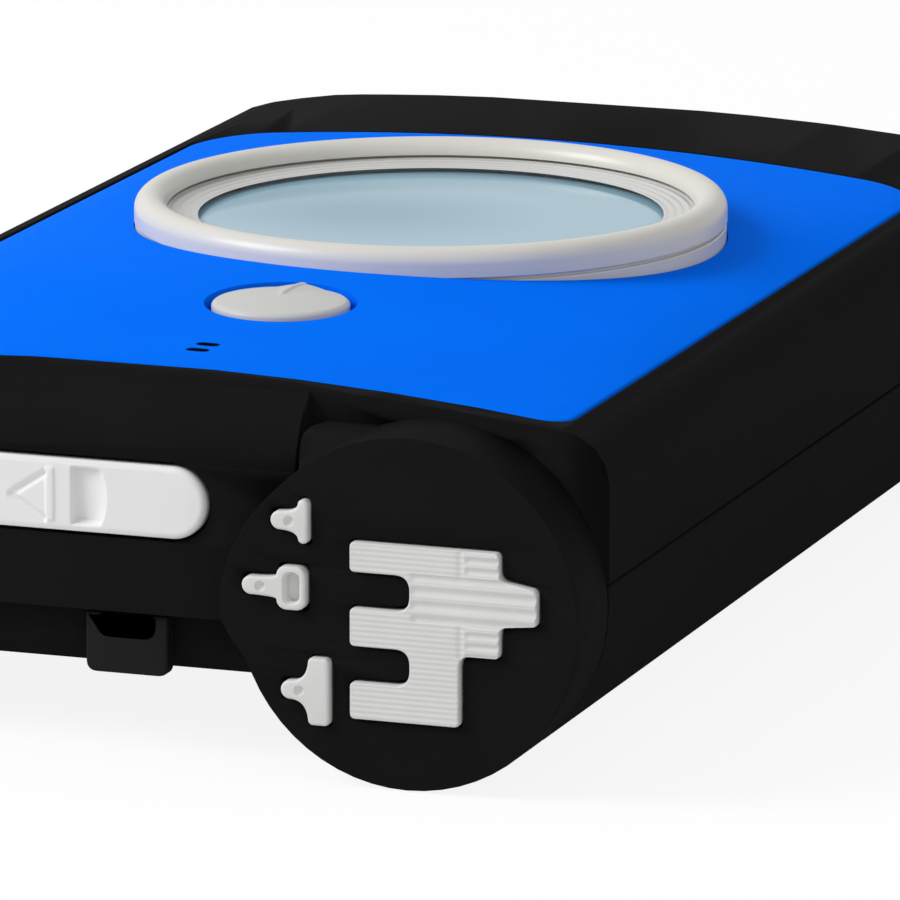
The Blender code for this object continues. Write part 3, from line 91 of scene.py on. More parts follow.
class Wire:
    """A socket of a material.  Python's operators add Math nodes to it, and node() adds any
    other node: the values or wires of its sockets first, then its settings."""

    def __init__(self, tree, socket):
        self.tree, self.socket = tree, socket

    def node(self, kind, inputs, out=0, **settings):
        made = self.tree.nodes.new("ShaderNode" + kind)
        for key, value in settings.items():
            setattr(made, key, value)
        for key, value in inputs.items():
            if isinstance(value, Wire):
                self.tree.links.new(value.socket, made.inputs[key])
            else:
                made.inputs[key].default_value = value
        return Wire(self.tree, made.outputs[out])

    def math(self, operation, first, second=0.0):
        return self.node("Math", {0: first, 1: second}, operation=operation)

    def __add__(self, other):
        return self.math("ADD", self, other)

    def __radd__(self, other):
        return self.math("ADD", other, self)

    def __sub__(self, other):
        return self.math("SUBTRACT", self, other)

    def __rsub__(self, other):
        return self.math("SUBTRACT", other, self)

    def __mul__(self, other):
        return self.math("MULTIPLY", self, other)

    def __rmul__(self, other):
        return self.math("MULTIPLY", other, self)

    def __truediv__(self, other):
        return self.math("DIVIDE", self, other)

    def __lt__(self, other):
        return self.math("LESS_THAN", self, other)

    def noise(self, scale, detail=3.0, roughness=0.55):
        """Noise over this vector, from 0 to 1 about 0.5."""
        return self.node("TexNoise", {"Vector": self, "Scale": scale, "Detail": detail,
                                      "Roughness": roughness})

    def ramp(self, low, high, start=0.0, end=1.0):
        """This value taken from the range low..high to start..end, and held there."""
        return self.node("MapRange", {"Value": self, "From Min": low, "From Max": high,
                                      "To Min": start, "To Max": end})

    def tint(self, first, second):
        """Colour between two, by this value."""
        made = self.tree.nodes.new("ShaderNodeMix")
        made.data_type = "RGBA"
        self.tree.links.new(self.socket, made.inputs[0])
        for socket, value in zip(made.inputs[6:8], (first, second)):
            if isinstance(value, Wire):
                self.tree.links.new(value.socket, socket)
            else:
                socket.default_value = (*value, 1.0)
        return Wire(self.tree, made.outputs[2])


class Finish:
    """A Principled finish with Object coordinates to draw on."""

    def __init__(self, name, colour, roughness, metallic=0.0, ior=1.46):
        self.made = bpy.data.materials.new(name)
        self.made.use_nodes = True
        self.tree = self.made.node_tree
        self.shader = self.tree.nodes["Principled BSDF"]
        self.set("Base Color", (*colour, 1.0))
        self.set("Roughness", roughness)
        self.set("Metallic", metallic)
        self.set("IOR", ior)
        self.made.diffuse_color = (*colour, 1.0)
        coordinates = self.tree.nodes.new("ShaderNodeTexCoord")
        self.at = Wire(self.tree, coordinates.outputs["Object"])
        split = self.tree.nodes.new("ShaderNodeSeparateXYZ")
        self.tree.links.new(self.at.socket, split.inputs[0])
        self.x, self.y, self.z = (Wire(self.tree, out) for out in split.outputs)

    def set(self, socket, value):
        if isinstance(value, Wire):
            self.tree.links.new(value.socket, self.shader.inputs[socket])
        else:
            self.shader.inputs[socket].default_value = value
        return self

    def relief(self, height, distance):
        """Bump from a height of 0 to 1, its depth in metres."""
        return self.set("Normal", height.node("Bump", {"Height": height, "Distance": distance,
                                                       "Strength": 1.0}))


def moulded(name, colour, roughness, grain=4500.0, depth=4e-6, mottle=0.1, ior=1.35,
            rough_swing=0.08):
    """Moulded plastic or rubber: fine even grain, faint clouding of colour and gloss, and
    a few finer scuffs."""
    look = Finish(name, colour, roughness, ior=ior)
    cloud = look.at.noise(70.0, 4.0)
    fine = look.at.noise(grain, 2.0)
    scuff = look.at.noise(900.0, 5.0, 0.7).ramp(0.58, 0.75)
    pale = [min(c * (1 + mottle) + 0.0015 * mottle, 1.0) for c in colour]
    deep = [c * (1 - mottle) for c in colour]
    look.set("Base Color", cloud.ramp(0.3, 0.7).tint(deep, pale))
    look.set("Roughness", roughness + rough_swing * (cloud - 0.5) + 0.05 * scuff)
    return look.relief(fine, depth)


def dress(piece, body, look, node):
    """Finish a piece, let it ride on its body and stand for the node it replaces."""
    piece.data.materials.clear()
    piece.data.materials.append(look.made)
    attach(piece, body)
    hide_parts(node)


def paint(look, *nodes):
    """Give carried-over CAD nodes a finish."""
    for node in nodes:
        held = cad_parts[node]
        held.data.materials.clear()
        held.data.materials.append(look.made)


def smoothed(node, sharp=38.0):
    """A CAD node's own shape with its corners merged, shaded smooth across edges that turn
    less than the angle, each face weighing by its size."""
    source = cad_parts[node]
    mesh = source.data.copy()
    mesh.transform(source.matrix_world)
    made = settle(add(node + "_skin", mesh), sharp)
    weighing = made.modifiers.new("weighing", "WEIGHTED_NORMAL")
    weighing.keep_sharp = True
    weighing.weight = LARGE_FACES
    bpy.context.view_layer.update()
    graph = bpy.context.evaluated_depsgraph_get()
    made.data = bpy.data.meshes.new_from_object(made.evaluated_get(graph))
    made.modifiers.clear()
    return made


black = moulded("black_nylon", (0.0094, 0.0094, 0.0096), 0.62, ior=1.04, mottle=0.08)
for shell in ("upper_shell", "lower_shell"):
    dress(smoothed(shell), "housing", black, shell)

# ---- Gasket and screws --------------------------------------------------------------
# A moulded rubber ring lies inside the seam and keeps water out.  The four screws are
# zinc-plated steel with a hex socket, sunk in counterbores of the lower shell.
rubber = moulded("gasket_rubber", (0.085, 0.085, 0.085), 0.8, grain=3000.0, depth=8e-6)
paint(rubber, "housing_gasket")


def metal(name, colour, roughness, along="x", fine=2600.0):
    """Bare or plated metal with a fine drawn grain along one axis and faint stains."""
    look = Finish(name, colour, roughness, 1.0)
    squeeze = {"x": (0.06, 1, 1), "y": (1, 0.06, 1), "z": (1, 1, 0.06)}[along]
    drawn = look.at.node("VectorMath", {0: look.at, 1: squeeze}, operation="MULTIPLY")
    streak = drawn.noise(fine, 2.0)
    stain = look.at.noise(350.0, 4.0)
    look.set("Base Color", stain.ramp(0.35, 0.7).tint([c * 0.86 for c in colour], colour))
    look.set("Roughness", roughness + 0.14 * (streak - 0.5) + 0.1 * (stain - 0.5))
    return look.relief(streak, 2e-6)


zinc = metal("zinc_plate", (0.55, 0.55, 0.56), 0.34, "z")
paint(zinc, *[f"housing_screw_{i}" for i in range(1, 5)])

# ---- Circuit boards and what they carry ---------------------------------------------
# Glass-epoxy boards under green solder mask with copper tracks showing through, black
# moulded chips, a pin header between the boards and a small loudspeaker.


def circuit(name):
    """Green board: tracks are the edges of blocky cells, with tinned dots on a grid."""
    look = Finish(name, (0.02, 0.12, 0.05), 0.4)
    cells = look.at.node("TexVoronoi", {"Vector": look.at, "Scale": 420.0}, distance="CHEBYCHEV")
    edge = cells.ramp(0.34, 0.4)
    dots = look.at.node("TexVoronoi", {"Vector": look.at, "Scale": 300.0, "Randomness": 0.0})
    pad = dots < 0.16
    mask = edge.tint((0.012, 0.095, 0.035), (0.03, 0.17, 0.07))
    look.set("Base Color", pad.tint(mask, (0.62, 0.60, 0.55)))
    look.set("Roughness", 0.42 - 0.14 * pad + 0.06 * (look.at.noise(1500.0) - 0.5))
    look.set("Metallic", 0.9 * pad)
    return look.relief(edge, 2e-5)


board_green = circuit("solder_mask")
paint(board_green, "main_board", "display_board")
epoxy = moulded("chip_epoxy", (0.021, 0.021, 0.023), 0.45, grain=6000.0, depth=3e-6)
paint(epoxy, "processor_chip", "radio_chip", "power_chip")
paint(moulded("header_nylon", (0.016, 0.016, 0.016), 0.5, grain=5000.0), "board_header")
paint(metal("speaker_can", (0.36, 0.36, 0.37), 0.4, "z"), "loudspeaker")

# ---- Three ferrite antennas ---------------------------------------------------------
# Sintered ferrite rods, matt grey-black and faintly pitted, each with a coil of enamelled
# copper wire wound in even turns.


def wound(name, axis):
    """Copper winding: bands across the rod's axis, one for each turn of wire, the grooves between
    turns darkened with painted shade.
    """
    look = Finish(name, (0.60, 0.24, 0.10), 0.33, 0.9)
    turns = {"x": look.x, "y": look.y, "z": look.z}[axis] * 2800.0
    wave = look.at.math("SINE", turns * 6.2832)
    crest = wave.ramp(-1.0, 1.0)
    # the darker copper in the grooves between turns is painted shade
    copper_with_groove_shade = crest.tint((0.30, 0.10, 0.035), (0.66, 0.27, 0.11))
    look.set("Base Color", copper_with_groove_shade)
    look.set("Roughness", 0.3 + 0.25 * (1 - crest) + 0.08 * (look.at.noise(800.0) - 0.5))
    return look.relief(crest, 6e-5)


ferrite = moulded("ferrite", (0.05, 0.05, 0.055), 0.6, grain=2200.0, depth=1.5e-5, mottle=0.2)
for direction, axis in (("long", "y"), ("cross", "x"), ("upright", "z")):
    paint(ferrite, f"antenna_{direction}_rod")
    paint(wound(f"winding_{direction}", axis), f"antenna_{direction}_winding")

# ---- Battery holder, cell and contacts ----------------------------------------------
# The cell slides into a plain tube; nickel-plated contacts meet it at both ends and a
# conical wire spring in the cap presses it home.
paint(moulded("holder_nylon", (0.06, 0.06, 0.065), 0.5, grain=4000.0), "battery_holder")
cell_look = Finish("cell_jacket", (0.30, 0.31, 0.33), 0.35, 0.6)
bands = cell_look.y.ramp(-0.05, -0.04)
cell_look.set("Base Color", bands.tint((0.42, 0.30, 0.12), (0.28, 0.29, 0.31)))
cell_look.set("Roughness", 0.32 + 0.12 * (cell_look.at.noise(400.0) - 0.5))
paint(cell_look.relief(cell_look.at.noise(1800.0), 2e-6), "battery_cell")
nickel = metal("nickel_plate", (0.62, 0.58, 0.50), 0.28, "z")
paint(nickel, "plus_contact", "minus_contact")


def surface(name, rows, ends=(True, True), loop=False, sharp=32.0):
    """Closed surface from an array (rows, points, 3): neighbouring rows are joined by quads
    and each row closes on itself.  ends fills the first and last row; loop joins them."""
    rows = np.asarray(rows, float)
    count, around = rows.shape[:2]
    last = count if loop else count - 1
    i, j = np.meshgrid(np.arange(last), np.arange(around), indexing="ij")
    up, along = (i + 1) % count, (j + 1) % around
    quads = np.stack([i * around + j, i * around + along, up * around + along,
                      up * around + j], -1).reshape(-1, 4)
    faces = quads.tolist()
    if not loop:
        if ends[0]:
            faces.append(list(range(around))[::-1])
        if ends[1]:
            faces.append([(count - 1) * around + k for k in range(around)])
    mesh = bpy.data.meshes.new(name)
    mesh.from_pydata(real(rows.reshape(-1, 3)).tolist(), [], faces)
    return settle(add(name, mesh), sharp)


def coil(turns, wire, wide, narrow, front, rear):
    """Conical spring: a circle of the wire's radius carried along a helix about the tube's
    axis whose radius shrinks evenly; the ends are filled."""
    share = np.linspace(0, 1, int(turns * 48))[:, None]
    turn = 2 * np.pi * turns * share
    radius = wide + (narrow - wide) * share
    around = np.linspace(0, 2 * np.pi, 14, endpoint=False)[None]
    reach = radius + wire * np.cos(around)
    y = front + (rear - front) * share + wire * np.sin(around)
    return surface("battery_spring_wire", np.stack([TUBE_X + reach * np.cos(turn), y,
                                                    TUBE_Z + reach * np.sin(turn)], -1))


SPRING_TURNS, SPRING_WIRE, SPRING_RADII = 2.5, 0.35, (6.2, 3.6)
SPRING_FRONT, SPRING_REAR = -63.45, -61.25
cap_spring = coil(SPRING_TURNS, SPRING_WIRE, *SPRING_RADII, SPRING_FRONT, SPRING_REAR)
dress(cap_spring, "cap", nickel, "battery_spring")

# ---- Face plate ---------------------------------------------------------------------
# Satin polycarbonate, blue right through, bonded into the recess and following the
# crown.  It has a hole for the display, a shallow well for the knob and two sound slots.
# Its middle swells a little, so that it meets the ring's foot as high as the real one.
CROWN_X, CROWN_RADIUS = -4.8, 282.0
PLATE = (-34.9, 31.5, -57.5, 40.0)
PLATE_CORNERS, PLATE_THICKNESS, PLATE_EDGE = (6.0, 2.2), 1.2, 0.3
SWELL, SWELL_RISE, SWELL_FALL = 1.3, 34.0, 30.0
SPINE_X, SPINE_PITCH, SPINE_INSET = -5.0, 4.0, 12.0
RING_RADIUS = 24.84
KNOB_Y, KNOB_RADIUS, SHAFT_RADIUS, WELL_DEPTH = -36.0, 5.6, 1.4, 0.5
SLOT_FIRST, SLOT_STEP, SLOT_SIZE = (-0.9, -50.1), (-0.15, -1.9), (1.96, 1.1)
# middle of the sound slots and how far the painted shade on their walls reaches
SLOT_MIDDLE, SHADE_PAINT_REACH = (-0.98, -51.05), (1.4, 1.8)
SLOPE, SLOPE_START, SLOPE_LIFT = 0.037, -52.0, 0.02
FIT, CUT_DEPTH = 0.03, 9.0


def combine(made, others, operation="DIFFERENCE", sharp=32.0):
    """Cut, join or intersect with other solids, which are used up."""
    for other in others if isinstance(others, list) else [others]:
        step = made.modifiers.new(other.name, "BOOLEAN")
        step.object = other
        step.operation = operation
        step.solver = "EXACT"
        bpy.context.view_layer.update()
        graph = bpy.context.evaluated_depsgraph_get()
        mesh = bpy.data.meshes.new_from_object(made.evaluated_get(graph))
        made.modifiers.clear()
        made.data = mesh
        bpy.data.objects.remove(other)
    return settle(made, sharp)


def prism(name, outline, low, high, plane="XY"):
    """Straight solid on a flat outline: plane XY rises along z and XZ runs along y."""
    u, v = np.asarray(outline, float).T
    order = {"XY": lambda w: (u, v, w + 0 * u), "XZ": lambda w: (u, w + 0 * u, v)}[plane]
    return surface(name, [np.stack(order(w), -1) for w in (low, high)])


def arc(centre, radius, start, end, steps):
    """Points on an arc, angles in degrees."""
    turn = np.radians(np.linspace(start, end, steps + 1))
    return np.stack([centre[0] + radius * np.cos(turn), centre[1] + radius * np.sin(turn)], -1)


def stadium(left, right, middle, height, steps=20):
    """Outline with two straight sides and round ends."""
    r = height / 2
    return np.concatenate([arc((right - r, middle), r, -90, 90, steps),
                           arc((left + r, middle), r, 90, 270, steps)])


def disc(radius, y, low, high, sides=128):
    """Upright round bar on the middle line."""
    turn = np.linspace(0, 2 * np.pi, sides, endpoint=False)
    outline = np.stack([radius * np.cos(turn), y + radius * np.sin(turn)], -1)
    return prism("disc", outline, low, high)


def crown(x):
    """Height of the crowned top: a shallow arc across the width."""
    return np.sqrt(CROWN_RADIUS ** 2 - (x - CROWN_X) ** 2) - CROWN_RADIUS


def plan_loop(left, right, front, rear, corners, corner_steps, side_steps):
    """Points and outward directions round a rectangle with round corners, from the right
    rear corner counter-clockwise.  corners are the radii, in that order."""
    spots = [(right, rear, 0), (left, rear, 90), (left, front, 180), (right, front, 270)]
    points, outward = [], []
    for (x, y, start), radius in zip(spots, corners):
        centre = (x - radius * np.sign(x - (left + right) / 2),
                  y - radius * np.sign(y - (front + rear) / 2))
        points.append(arc(centre, radius, start, start + 90, corner_steps))
        outward.append(arc((0, 0), 1.0, start, start + 90, corner_steps))
    loop, normals = [], []
    for k in range(4):
        loop.append(points[k])
        normals.append(outward[k])
        share = np.linspace(0, 1, side_steps + 2)[1:-1, None]
        loop.append(points[k][-1] * (1 - share) + points[(k + 1) % 4][0] * share)
        normals.append(np.repeat(outward[k][-1:], side_steps, axis=0))
    return np.concatenate(loop), np.concatenate(normals)


def to_spine(loop, low, high, count=16):
    """Loops that shrink from a loop to a straight spine at SPINE_X between two y values.  The
    spine's points keep to a coarse pitch, so that its two sides meet."""
    y = np.clip(np.round(loop[:, 1] / SPINE_PITCH) * SPINE_PITCH, low, high)
    spine = np.stack([0 * loop[:, 0] + SPINE_X, y], -1)
    share = np.linspace(0, 1, count + 1)[1:, None, None]
    return loop * (1 - share) + spine * share


def swell(x, y):
    """Soft bulge of the plate's top: nothing at its edges, full height in the middle."""
    left, right, front, rear = PLATE
    across = np.clip((x - left) * (right - x) * 4 / (right - left) ** 2, 0, 1)
    along = np.clip((y - front) / SWELL_RISE, 0, 1)
    back = np.clip((rear - y) / SWELL_FALL, 0, 1)
    ease = along * along * (3 - 2 * along) * back * back * (3 - 2 * back)
    return SWELL * ease * np.sqrt(across)


def crowned_plate(name, thickness, edge):
    """Plate under the crown, which swells in the middle of its top; its rim is rounded over.
    Loops climb from the spine of its underside out to the rim and back to the spine."""
    left, right, front, rear = PLATE
    back, fore = PLATE_CORNERS
    loop, out = plan_loop(left, right, front, rear, [back, back, fore, fore], 14, 40)
    spine = (front + SPINE_INSET, rear - SPINE_INSET)
    under = [np.column_stack([at, crown(at[:, 0]) - thickness]) for at in to_spine(loop, *spine)]
    rows = under[::-1]
    rows.append(np.column_stack([loop, crown(loop[:, 0]) - thickness]))
    for turn in np.radians(np.linspace(0, 90, 5)):
        at = loop - out * edge * (1 - np.cos(turn))
        rows.append(np.column_stack([at, crown(at[:, 0]) - edge * (1 - np.sin(turn))]))
    rows += [np.column_stack([at, crown(at[:, 0]) + swell(*at.T)])
             for at in to_spine(loop - out * edge, *spine)]
    return surface(name, rows, ends=(False, False))


plate = crowned_plate("face_plate_skin", PLATE_THICKNESS, PLATE_EDGE)
plate_cuts = [disc(RING_RADIUS + FIT, 0, -CUT_DEPTH, CUT_DEPTH, 240),
              disc(KNOB_RADIUS + 2 * GAP, KNOB_Y, -WELL_DEPTH, CUT_DEPTH),
              disc(SHAFT_RADIUS + GAP, KNOB_Y, -CUT_DEPTH, CUT_DEPTH, 64)]
for i in range(2):
    slot_x, slot_y = SLOT_FIRST[0] + i * SLOT_STEP[0], SLOT_FIRST[1] + i * SLOT_STEP[1]
    half = SLOT_SIZE[0] / 2
    plate_cuts.append(prism("sound_slot", stadium(slot_x - half, slot_x + half, slot_y,
                                                  SLOT_SIZE[1]), -CUT_DEPTH, CUT_DEPTH))
combine(plate, plate_cuts)
blue = moulded("blue_polycarbonate", (0.0, 0.165, 1.0), 0.5, grain=5200.0, depth=2.5e-6,
               mottle=0.025, ior=1.02, rough_swing=0.06)

# inside the slots, just under the sloping surface, the walls are painted near-black: painted shade
# standing in for the shadow down the holes
right, back, up = [(wire - float(start)) / MM
                   for wire, start in zip((blue.x, blue.y, blue.z), RING)]
beside = right.math("ABSOLUTE", right - SLOT_MIDDLE[0]) < SHADE_PAINT_REACH[0]
along_slots = back.math("ABSOLUTE", back - SLOT_MIDDLE[1]) < SHADE_PAINT_REACH[1]
painted_shade_slot_wall = beside * along_slots * (up < (back - SLOPE_START) * SLOPE + SLOPE_LIFT)
plain = Wire(blue.tree, blue.shader.inputs["Base Color"].links[0].from_socket)
# painted shade: the slot walls turn near-black in place of the blue
blue.set("Base Color", painted_shade_slot_wall.tint(plain, (0.003, 0.003, 0.003)))
dress(plate, "housing", blue, "face_plate")

# ---- Display bezel, reflector, window, screen and lamps -----------------------------
# The bezel is a glossy pale ring with a rounded rim and a groove above its foot.  Inside,
# a reflector steps down to the polished, tinted window over the screen and six lamps.
SIDES, CENTRE_HOLE = 240, 0.02
RING_WIDTH, RIM_ROUND = 2.74, 1.35
RING_INNER = RING_RADIUS - RING_WIDTH
GROOVE_RADIUS, FLANGE_RADIUS, SEAT_RADIUS, BORE_RADIUS = 24.42, 24.76, 24.39, 22.9
RING_BOTTOM, BORE_TOP = -2.3, 1.92
WINDOW_RADIUS, SIGHT_RADIUS, WINDOW_TOP, WINDOW_BOTTOM = 20.6, 19.5, 0.9, -0.3
CONE_LOW, CONE_TOP, CONE_EDGE = 1.24, 1.65, 22.6
RIPPLES, RIPPLE_HEIGHT, RIPPLE_SIDE, RIPPLE_SPREAD = 4, 0.055, 58.0, 34.0


def turned(name, profile, sides=SIDES, loop=True, centre_y=0.0, shape=None):
    """Profile of (radius, height) turned about an upright axis on the middle line; shape
    may change the heights with the angle."""
    profile = np.asarray(profile, float)
    turn = np.linspace(0, 2 * np.pi, sides, endpoint=False)[None]
    radius, height = profile[:, :1] + 0 * turn, profile[:, 1:] + 0 * turn
    if shape:
        height = height + shape(radius, turn)
    rows = np.stack([radius * np.cos(turn), centre_y + radius * np.sin(turn), height], -1)
    return surface(name, rows, loop=loop)


rim_middle = RING_RADIUS - RING_WIDTH / 2
rim_z = RING_TOP - RIM_ROUND
rim = arc((0, 0), 1.0, 180, 0, 28) * (RING_WIDTH / 2, RIM_ROUND) + (rim_middle, rim_z)
foot = [(RING_RADIUS, 0.86), (RING_RADIUS - 0.08, 0.78), (GROOVE_RADIUS, 0.74),
        (GROOVE_RADIUS, 0.5), (FLANGE_RADIUS - 0.06, 0.46), (FLANGE_RADIUS, 0.38),
        (FLANGE_RADIUS, -0.9), (SEAT_RADIUS, -0.95), (SEAT_RADIUS, RING_BOTTOM),
        (BORE_RADIUS, RING_BOTTOM), (BORE_RADIUS, BORE_TOP), (RING_INNER + 0.05, BORE_TOP)]
bezel = turned("display_bezel_ring", np.concatenate([rim, foot]))
ring_look = moulded("ring_plastic", (0.68, 0.66, 0.605), 0.3, grain=2600.0, depth=2e-6,
                    mottle=0.02, ior=1.42, rough_swing=0.1)
dress(bezel, "housing", ring_look, "display_bezel")


def reflector_steps(radius, turn):
    """Shallow ripples round the cone, a sine of its width, strongest at the far right."""
    share = np.clip((radius - SIGHT_RADIUS) / (RING_INNER - SIGHT_RADIUS), 0, 1)
    degrees = np.degrees(turn) % 360
    strong = 0.25 + 0.75 * np.exp(-((degrees - RIPPLE_SIDE) / RIPPLE_SPREAD) ** 2)
    wave = RIPPLE_HEIGHT * strong * np.sin(share * RIPPLES * 2 * np.pi)
    return np.where((share > 0.02) & (share < 0.98), wave, 0.0)


cone_r = np.linspace(SIGHT_RADIUS, RING_INNER - 0.02, 49)
cone_share = (cone_r - SIGHT_RADIUS) / (RING_INNER - SIGHT_RADIUS)
cone_z = CONE_LOW + (CONE_TOP - 0.06 - CONE_LOW) * cone_share ** 1.1
reflector_profile = np.concatenate([
    np.column_stack([cone_r, cone_z]),
    [(CONE_EDGE - 0.4, CONE_TOP - 0.02), (CONE_EDGE, CONE_TOP - 0.05), (CONE_EDGE, RING_BOTTOM),
     (WINDOW_RADIUS + GAP, RING_BOTTOM), (WINDOW_RADIUS + GAP, WINDOW_TOP + GAP),
     (SIGHT_RADIUS + 0.05, WINDOW_TOP + GAP)]])
reflector = turned("display_reflector_cone", reflector_profile, shape=reflector_steps)
reflector_look = moulded("reflector_plastic", (0.60, 0.60, 0.585), 0.2, grain=1800.0,
                         depth=2e-6, mottle=0.03, ior=1.5)
dress(reflector, "housing", reflector_look, "display_reflector")

window_profile = [(CENTRE_HOLE, WINDOW_TOP), (6, WINDOW_TOP), (12, WINDOW_TOP - 0.01),
                  (18, WINDOW_TOP - 0.03), (WINDOW_RADIUS - 0.4, WINDOW_TOP - 0.05),
                  (WINDOW_RADIUS - 0.1, WINDOW_TOP - 0.16), (WINDOW_RADIUS, WINDOW_TOP - 0.3),
                  (WINDOW_RADIUS, WINDOW_BOTTOM), (CENTRE_HOLE, WINDOW_BOTTOM)]
window = turned("display_window_pane", window_profile, loop=False)
tint = Finish("tinted_window", (0.37, 0.545, 0.62), 0.07, ior=1.3)

# the glass is darkest over an oval patch to the left of its middle
offset = tint.at.node("VectorMath", {0: tint.at, 1: tuple(RING)}, operation="SUBTRACT")
from_left = offset.node("VectorMath", {0: offset, 1: (6.0 * MM, 0.0, 0.0)}, operation="ADD")
oval = from_left.node("VectorMath", {0: from_left, 1: (1.0, 1.35, 0.0)}, operation="MULTIPLY")
far = oval.node("VectorMath", {0: oval}, out=1, operation="LENGTH") / MM
haze = tint.at.noise(90.0, 3.0)
shade = far.ramp(3.0, 17.0) + 0.3 * (haze - 0.5)
tint.set("Base Color", shade.tint((0.215, 0.385, 0.50), (0.33, 0.53, 0.65)))
tint.set("Roughness", 0.05 + 0.05 * tint.at.noise(500.0, 5.0))
tint.relief(tint.at.noise(60.0, 2.0), 4e-6)
dress(window, "housing", tint, "display_window")

screen_look = Finish("screen_glass", (0.30, 0.36, 0.34), 0.15)
rows_across = screen_look.x.math("FRACT", screen_look.x * 2600.0)
rows_down = screen_look.y.math("FRACT", screen_look.y * 2600.0)
pixels = rows_down.math("MAXIMUM", rows_across < 0.12, rows_down < 0.12)
screen_look.set("Base Color", pixels.tint((0.30, 0.36, 0.34), (0.22, 0.27, 0.26)))
screen_look.set("Roughness", 0.13 + 0.05 * screen_look.at.noise(700.0))
paint(screen_look, "display_screen")
lamp_look = Finish("lamp_lens", (0.55, 0.05, 0.03), 0.22)
glow = lamp_look.at.noise(900.0, 2.0)
lamp_look.set("Base Color", glow.tint((0.42, 0.03, 0.02), (0.62, 0.07, 0.04)))
lamp_look.set("Roughness", 0.16 + 0.12 * glow)
paint(lamp_look, *[f"display_lamp_{i}" for i in range(1, 7)])

# ---- Pointer knob with its shaft, seal and rotary switch ----------------------------
# White acetal, a low dome that sits in the plate's well.  Its pointer is a roof-like wedge
# that rises and widens from the middle to the rear rim.
KNOB_RIM_Z, KNOB_DOME, KNOB_BOTTOM = 0.9, 0.55, -0.2
KNOB_EDGE, KNOB_DROP, KNOB_WALL_TOP = 0.39, 0.25, 0.3
SOCKET_RADIUS, SOCKET_TOP = 1.7, 0.5
WEDGE_HEIGHT, WEDGE_TIP, WEDGE_SPREAD = 0.36, 0.3, 2.05
CREST_HEIGHT, CREST_HALF = 0.12, 0.25


def knob_height(radius, turn):
    """Dome, wedge and line: the wedge's half-width grows from 0.3 to 2.35 mm towards the
    rear rim and it climbs on the way; a narrow raised line runs along its crest."""
    x, y = radius * np.cos(turn), radius * np.sin(turn)
    along = np.clip(y / KNOB_RADIUS, 0, 1)
    half = WEDGE_TIP + WEDGE_SPREAD * along
    across = 1 - np.sqrt((x / half) ** 2 + 0.01)
    wedge = WEDGE_HEIGHT * along ** 0.8 * np.clip(across, 0, 1) * (y > 0)
    crest = CREST_HEIGHT * np.exp(-(x / CREST_HALF) ** 4) * np.clip((y + 0.3) / 0.4, 0, 1)
    return KNOB_DOME * (1 - (radius / KNOB_RADIUS) ** 2) + wedge + crest


def knob_shape(radius, turn):
    """Heights for the rows of the knob's top alone; its wall and underside stay level."""
    is_top = np.arange(len(radius))[:, None] < len(knob_top)
    return np.where(is_top, knob_height(radius, turn), 0.0)


knob_flat = 0.93 * KNOB_RADIUS
knob_radii = np.concatenate([np.linspace(CENTRE_HOLE, knob_flat, 44),
                             KNOB_RADIUS - KNOB_EDGE * (1 - np.sin(np.radians([15, 40, 65])))])
knob_top = [(r, KNOB_RIM_Z - KNOB_DROP * np.clip((r - knob_flat) / KNOB_EDGE, 0, 1) ** 2)
            for r in knob_radii]
knob_below = [(KNOB_RADIUS, KNOB_RIM_Z - KNOB_WALL_TOP), (KNOB_RADIUS, KNOB_BOTTOM),
              (SOCKET_RADIUS, KNOB_BOTTOM), (SOCKET_RADIUS, SOCKET_TOP),
              (CENTRE_HOLE, SOCKET_TOP)]
knob = turned("mode_knob_cap", knob_top + knob_below, 320, False, KNOB_Y, knob_shape)
white = moulded("white_acetal", (0.58, 0.58, 0.56), 0.42, grain=4200.0, depth=2.5e-6,
                mottle=0.02, ior=1.35)
dress(knob, "knob", white, "mode_knob")
paint(metal("bright_shaft", (0.55, 0.55, 0.56), 0.26, "z"), "knob_shaft")
seal_rubber = moulded("seal_rubber", (0.02, 0.02, 0.02), 0.7, grain=3500.0)
paint(seal_rubber, "knob_seal", "cap_seal")
paint(moulded("switch_nylon", (0.03, 0.05, 0.09), 0.45, grain=4500.0), "rotary_switch")

# ---- Thumb slide, its carriage and switch -------------------------------------------
# A white acetal strip that slides in a pocket of the front wall.  An engraved arrow, a
# raised bar and a thumb scoop are moulded in; a carriage behind the wall works a switch.
SLIDE_LEFT, SLIDE_RIGHT, SLIDE_Z, SLIDE_HEIGHT = -19.9, 4.1, -9.65, 5.8
SLIDE_MIDDLE = (SLIDE_LEFT + SLIDE_RIGHT) / 2
SLIDE_POCKET = 1.0
STEM_LENGTH, STEM_HEIGHT = 6.0, 2.4
ARROW_TIP, ARROW_HIGH, ARROW_LOW, ARROW_WIDTH = (-12.3, -9.9), (-9.5, -8.05), (-9.5, -11.65), 0.34
SLIDE_FRONT = BODY_FRONT - 0.5
SLIDE_BACK = BODY_FRONT + SLIDE_POCKET - GAP
SLIDE_ROUND = 0.5
FACE_LEVEL, ARROW_DEPTH, BAR_HEIGHT, SCOOP_DEPTH, END_RISE = 0.16, 0.24, 0.14, 0.75, 0.14
BAR_X, BAR_HALF, BAR_TALL = -9.0, 0.42, 2.3
SCOOP_LEFT, SCOOP_DEEPEST, SCOOP_RIGHT, SCOOP_TALL = -7.25, -7.1, -4.2, 2.35
RISE_START, RISE_RUN = -3.5, 6.0


def stroke(x, z, start, end, width):
    """1 on a line between two points, easing to 0 at the width."""
    start, end = np.array(start), np.array(end)
    run = end - start
    share = np.clip(((x - start[0]) * run[0] + (z - start[1]) * run[1]) / (run @ run), 0, 1)
    reach = np.hypot(x - start[0] - share * run[0], z - start[1] - share * run[1])
    return np.clip(1 - reach / width, 0, 1) ** 0.7


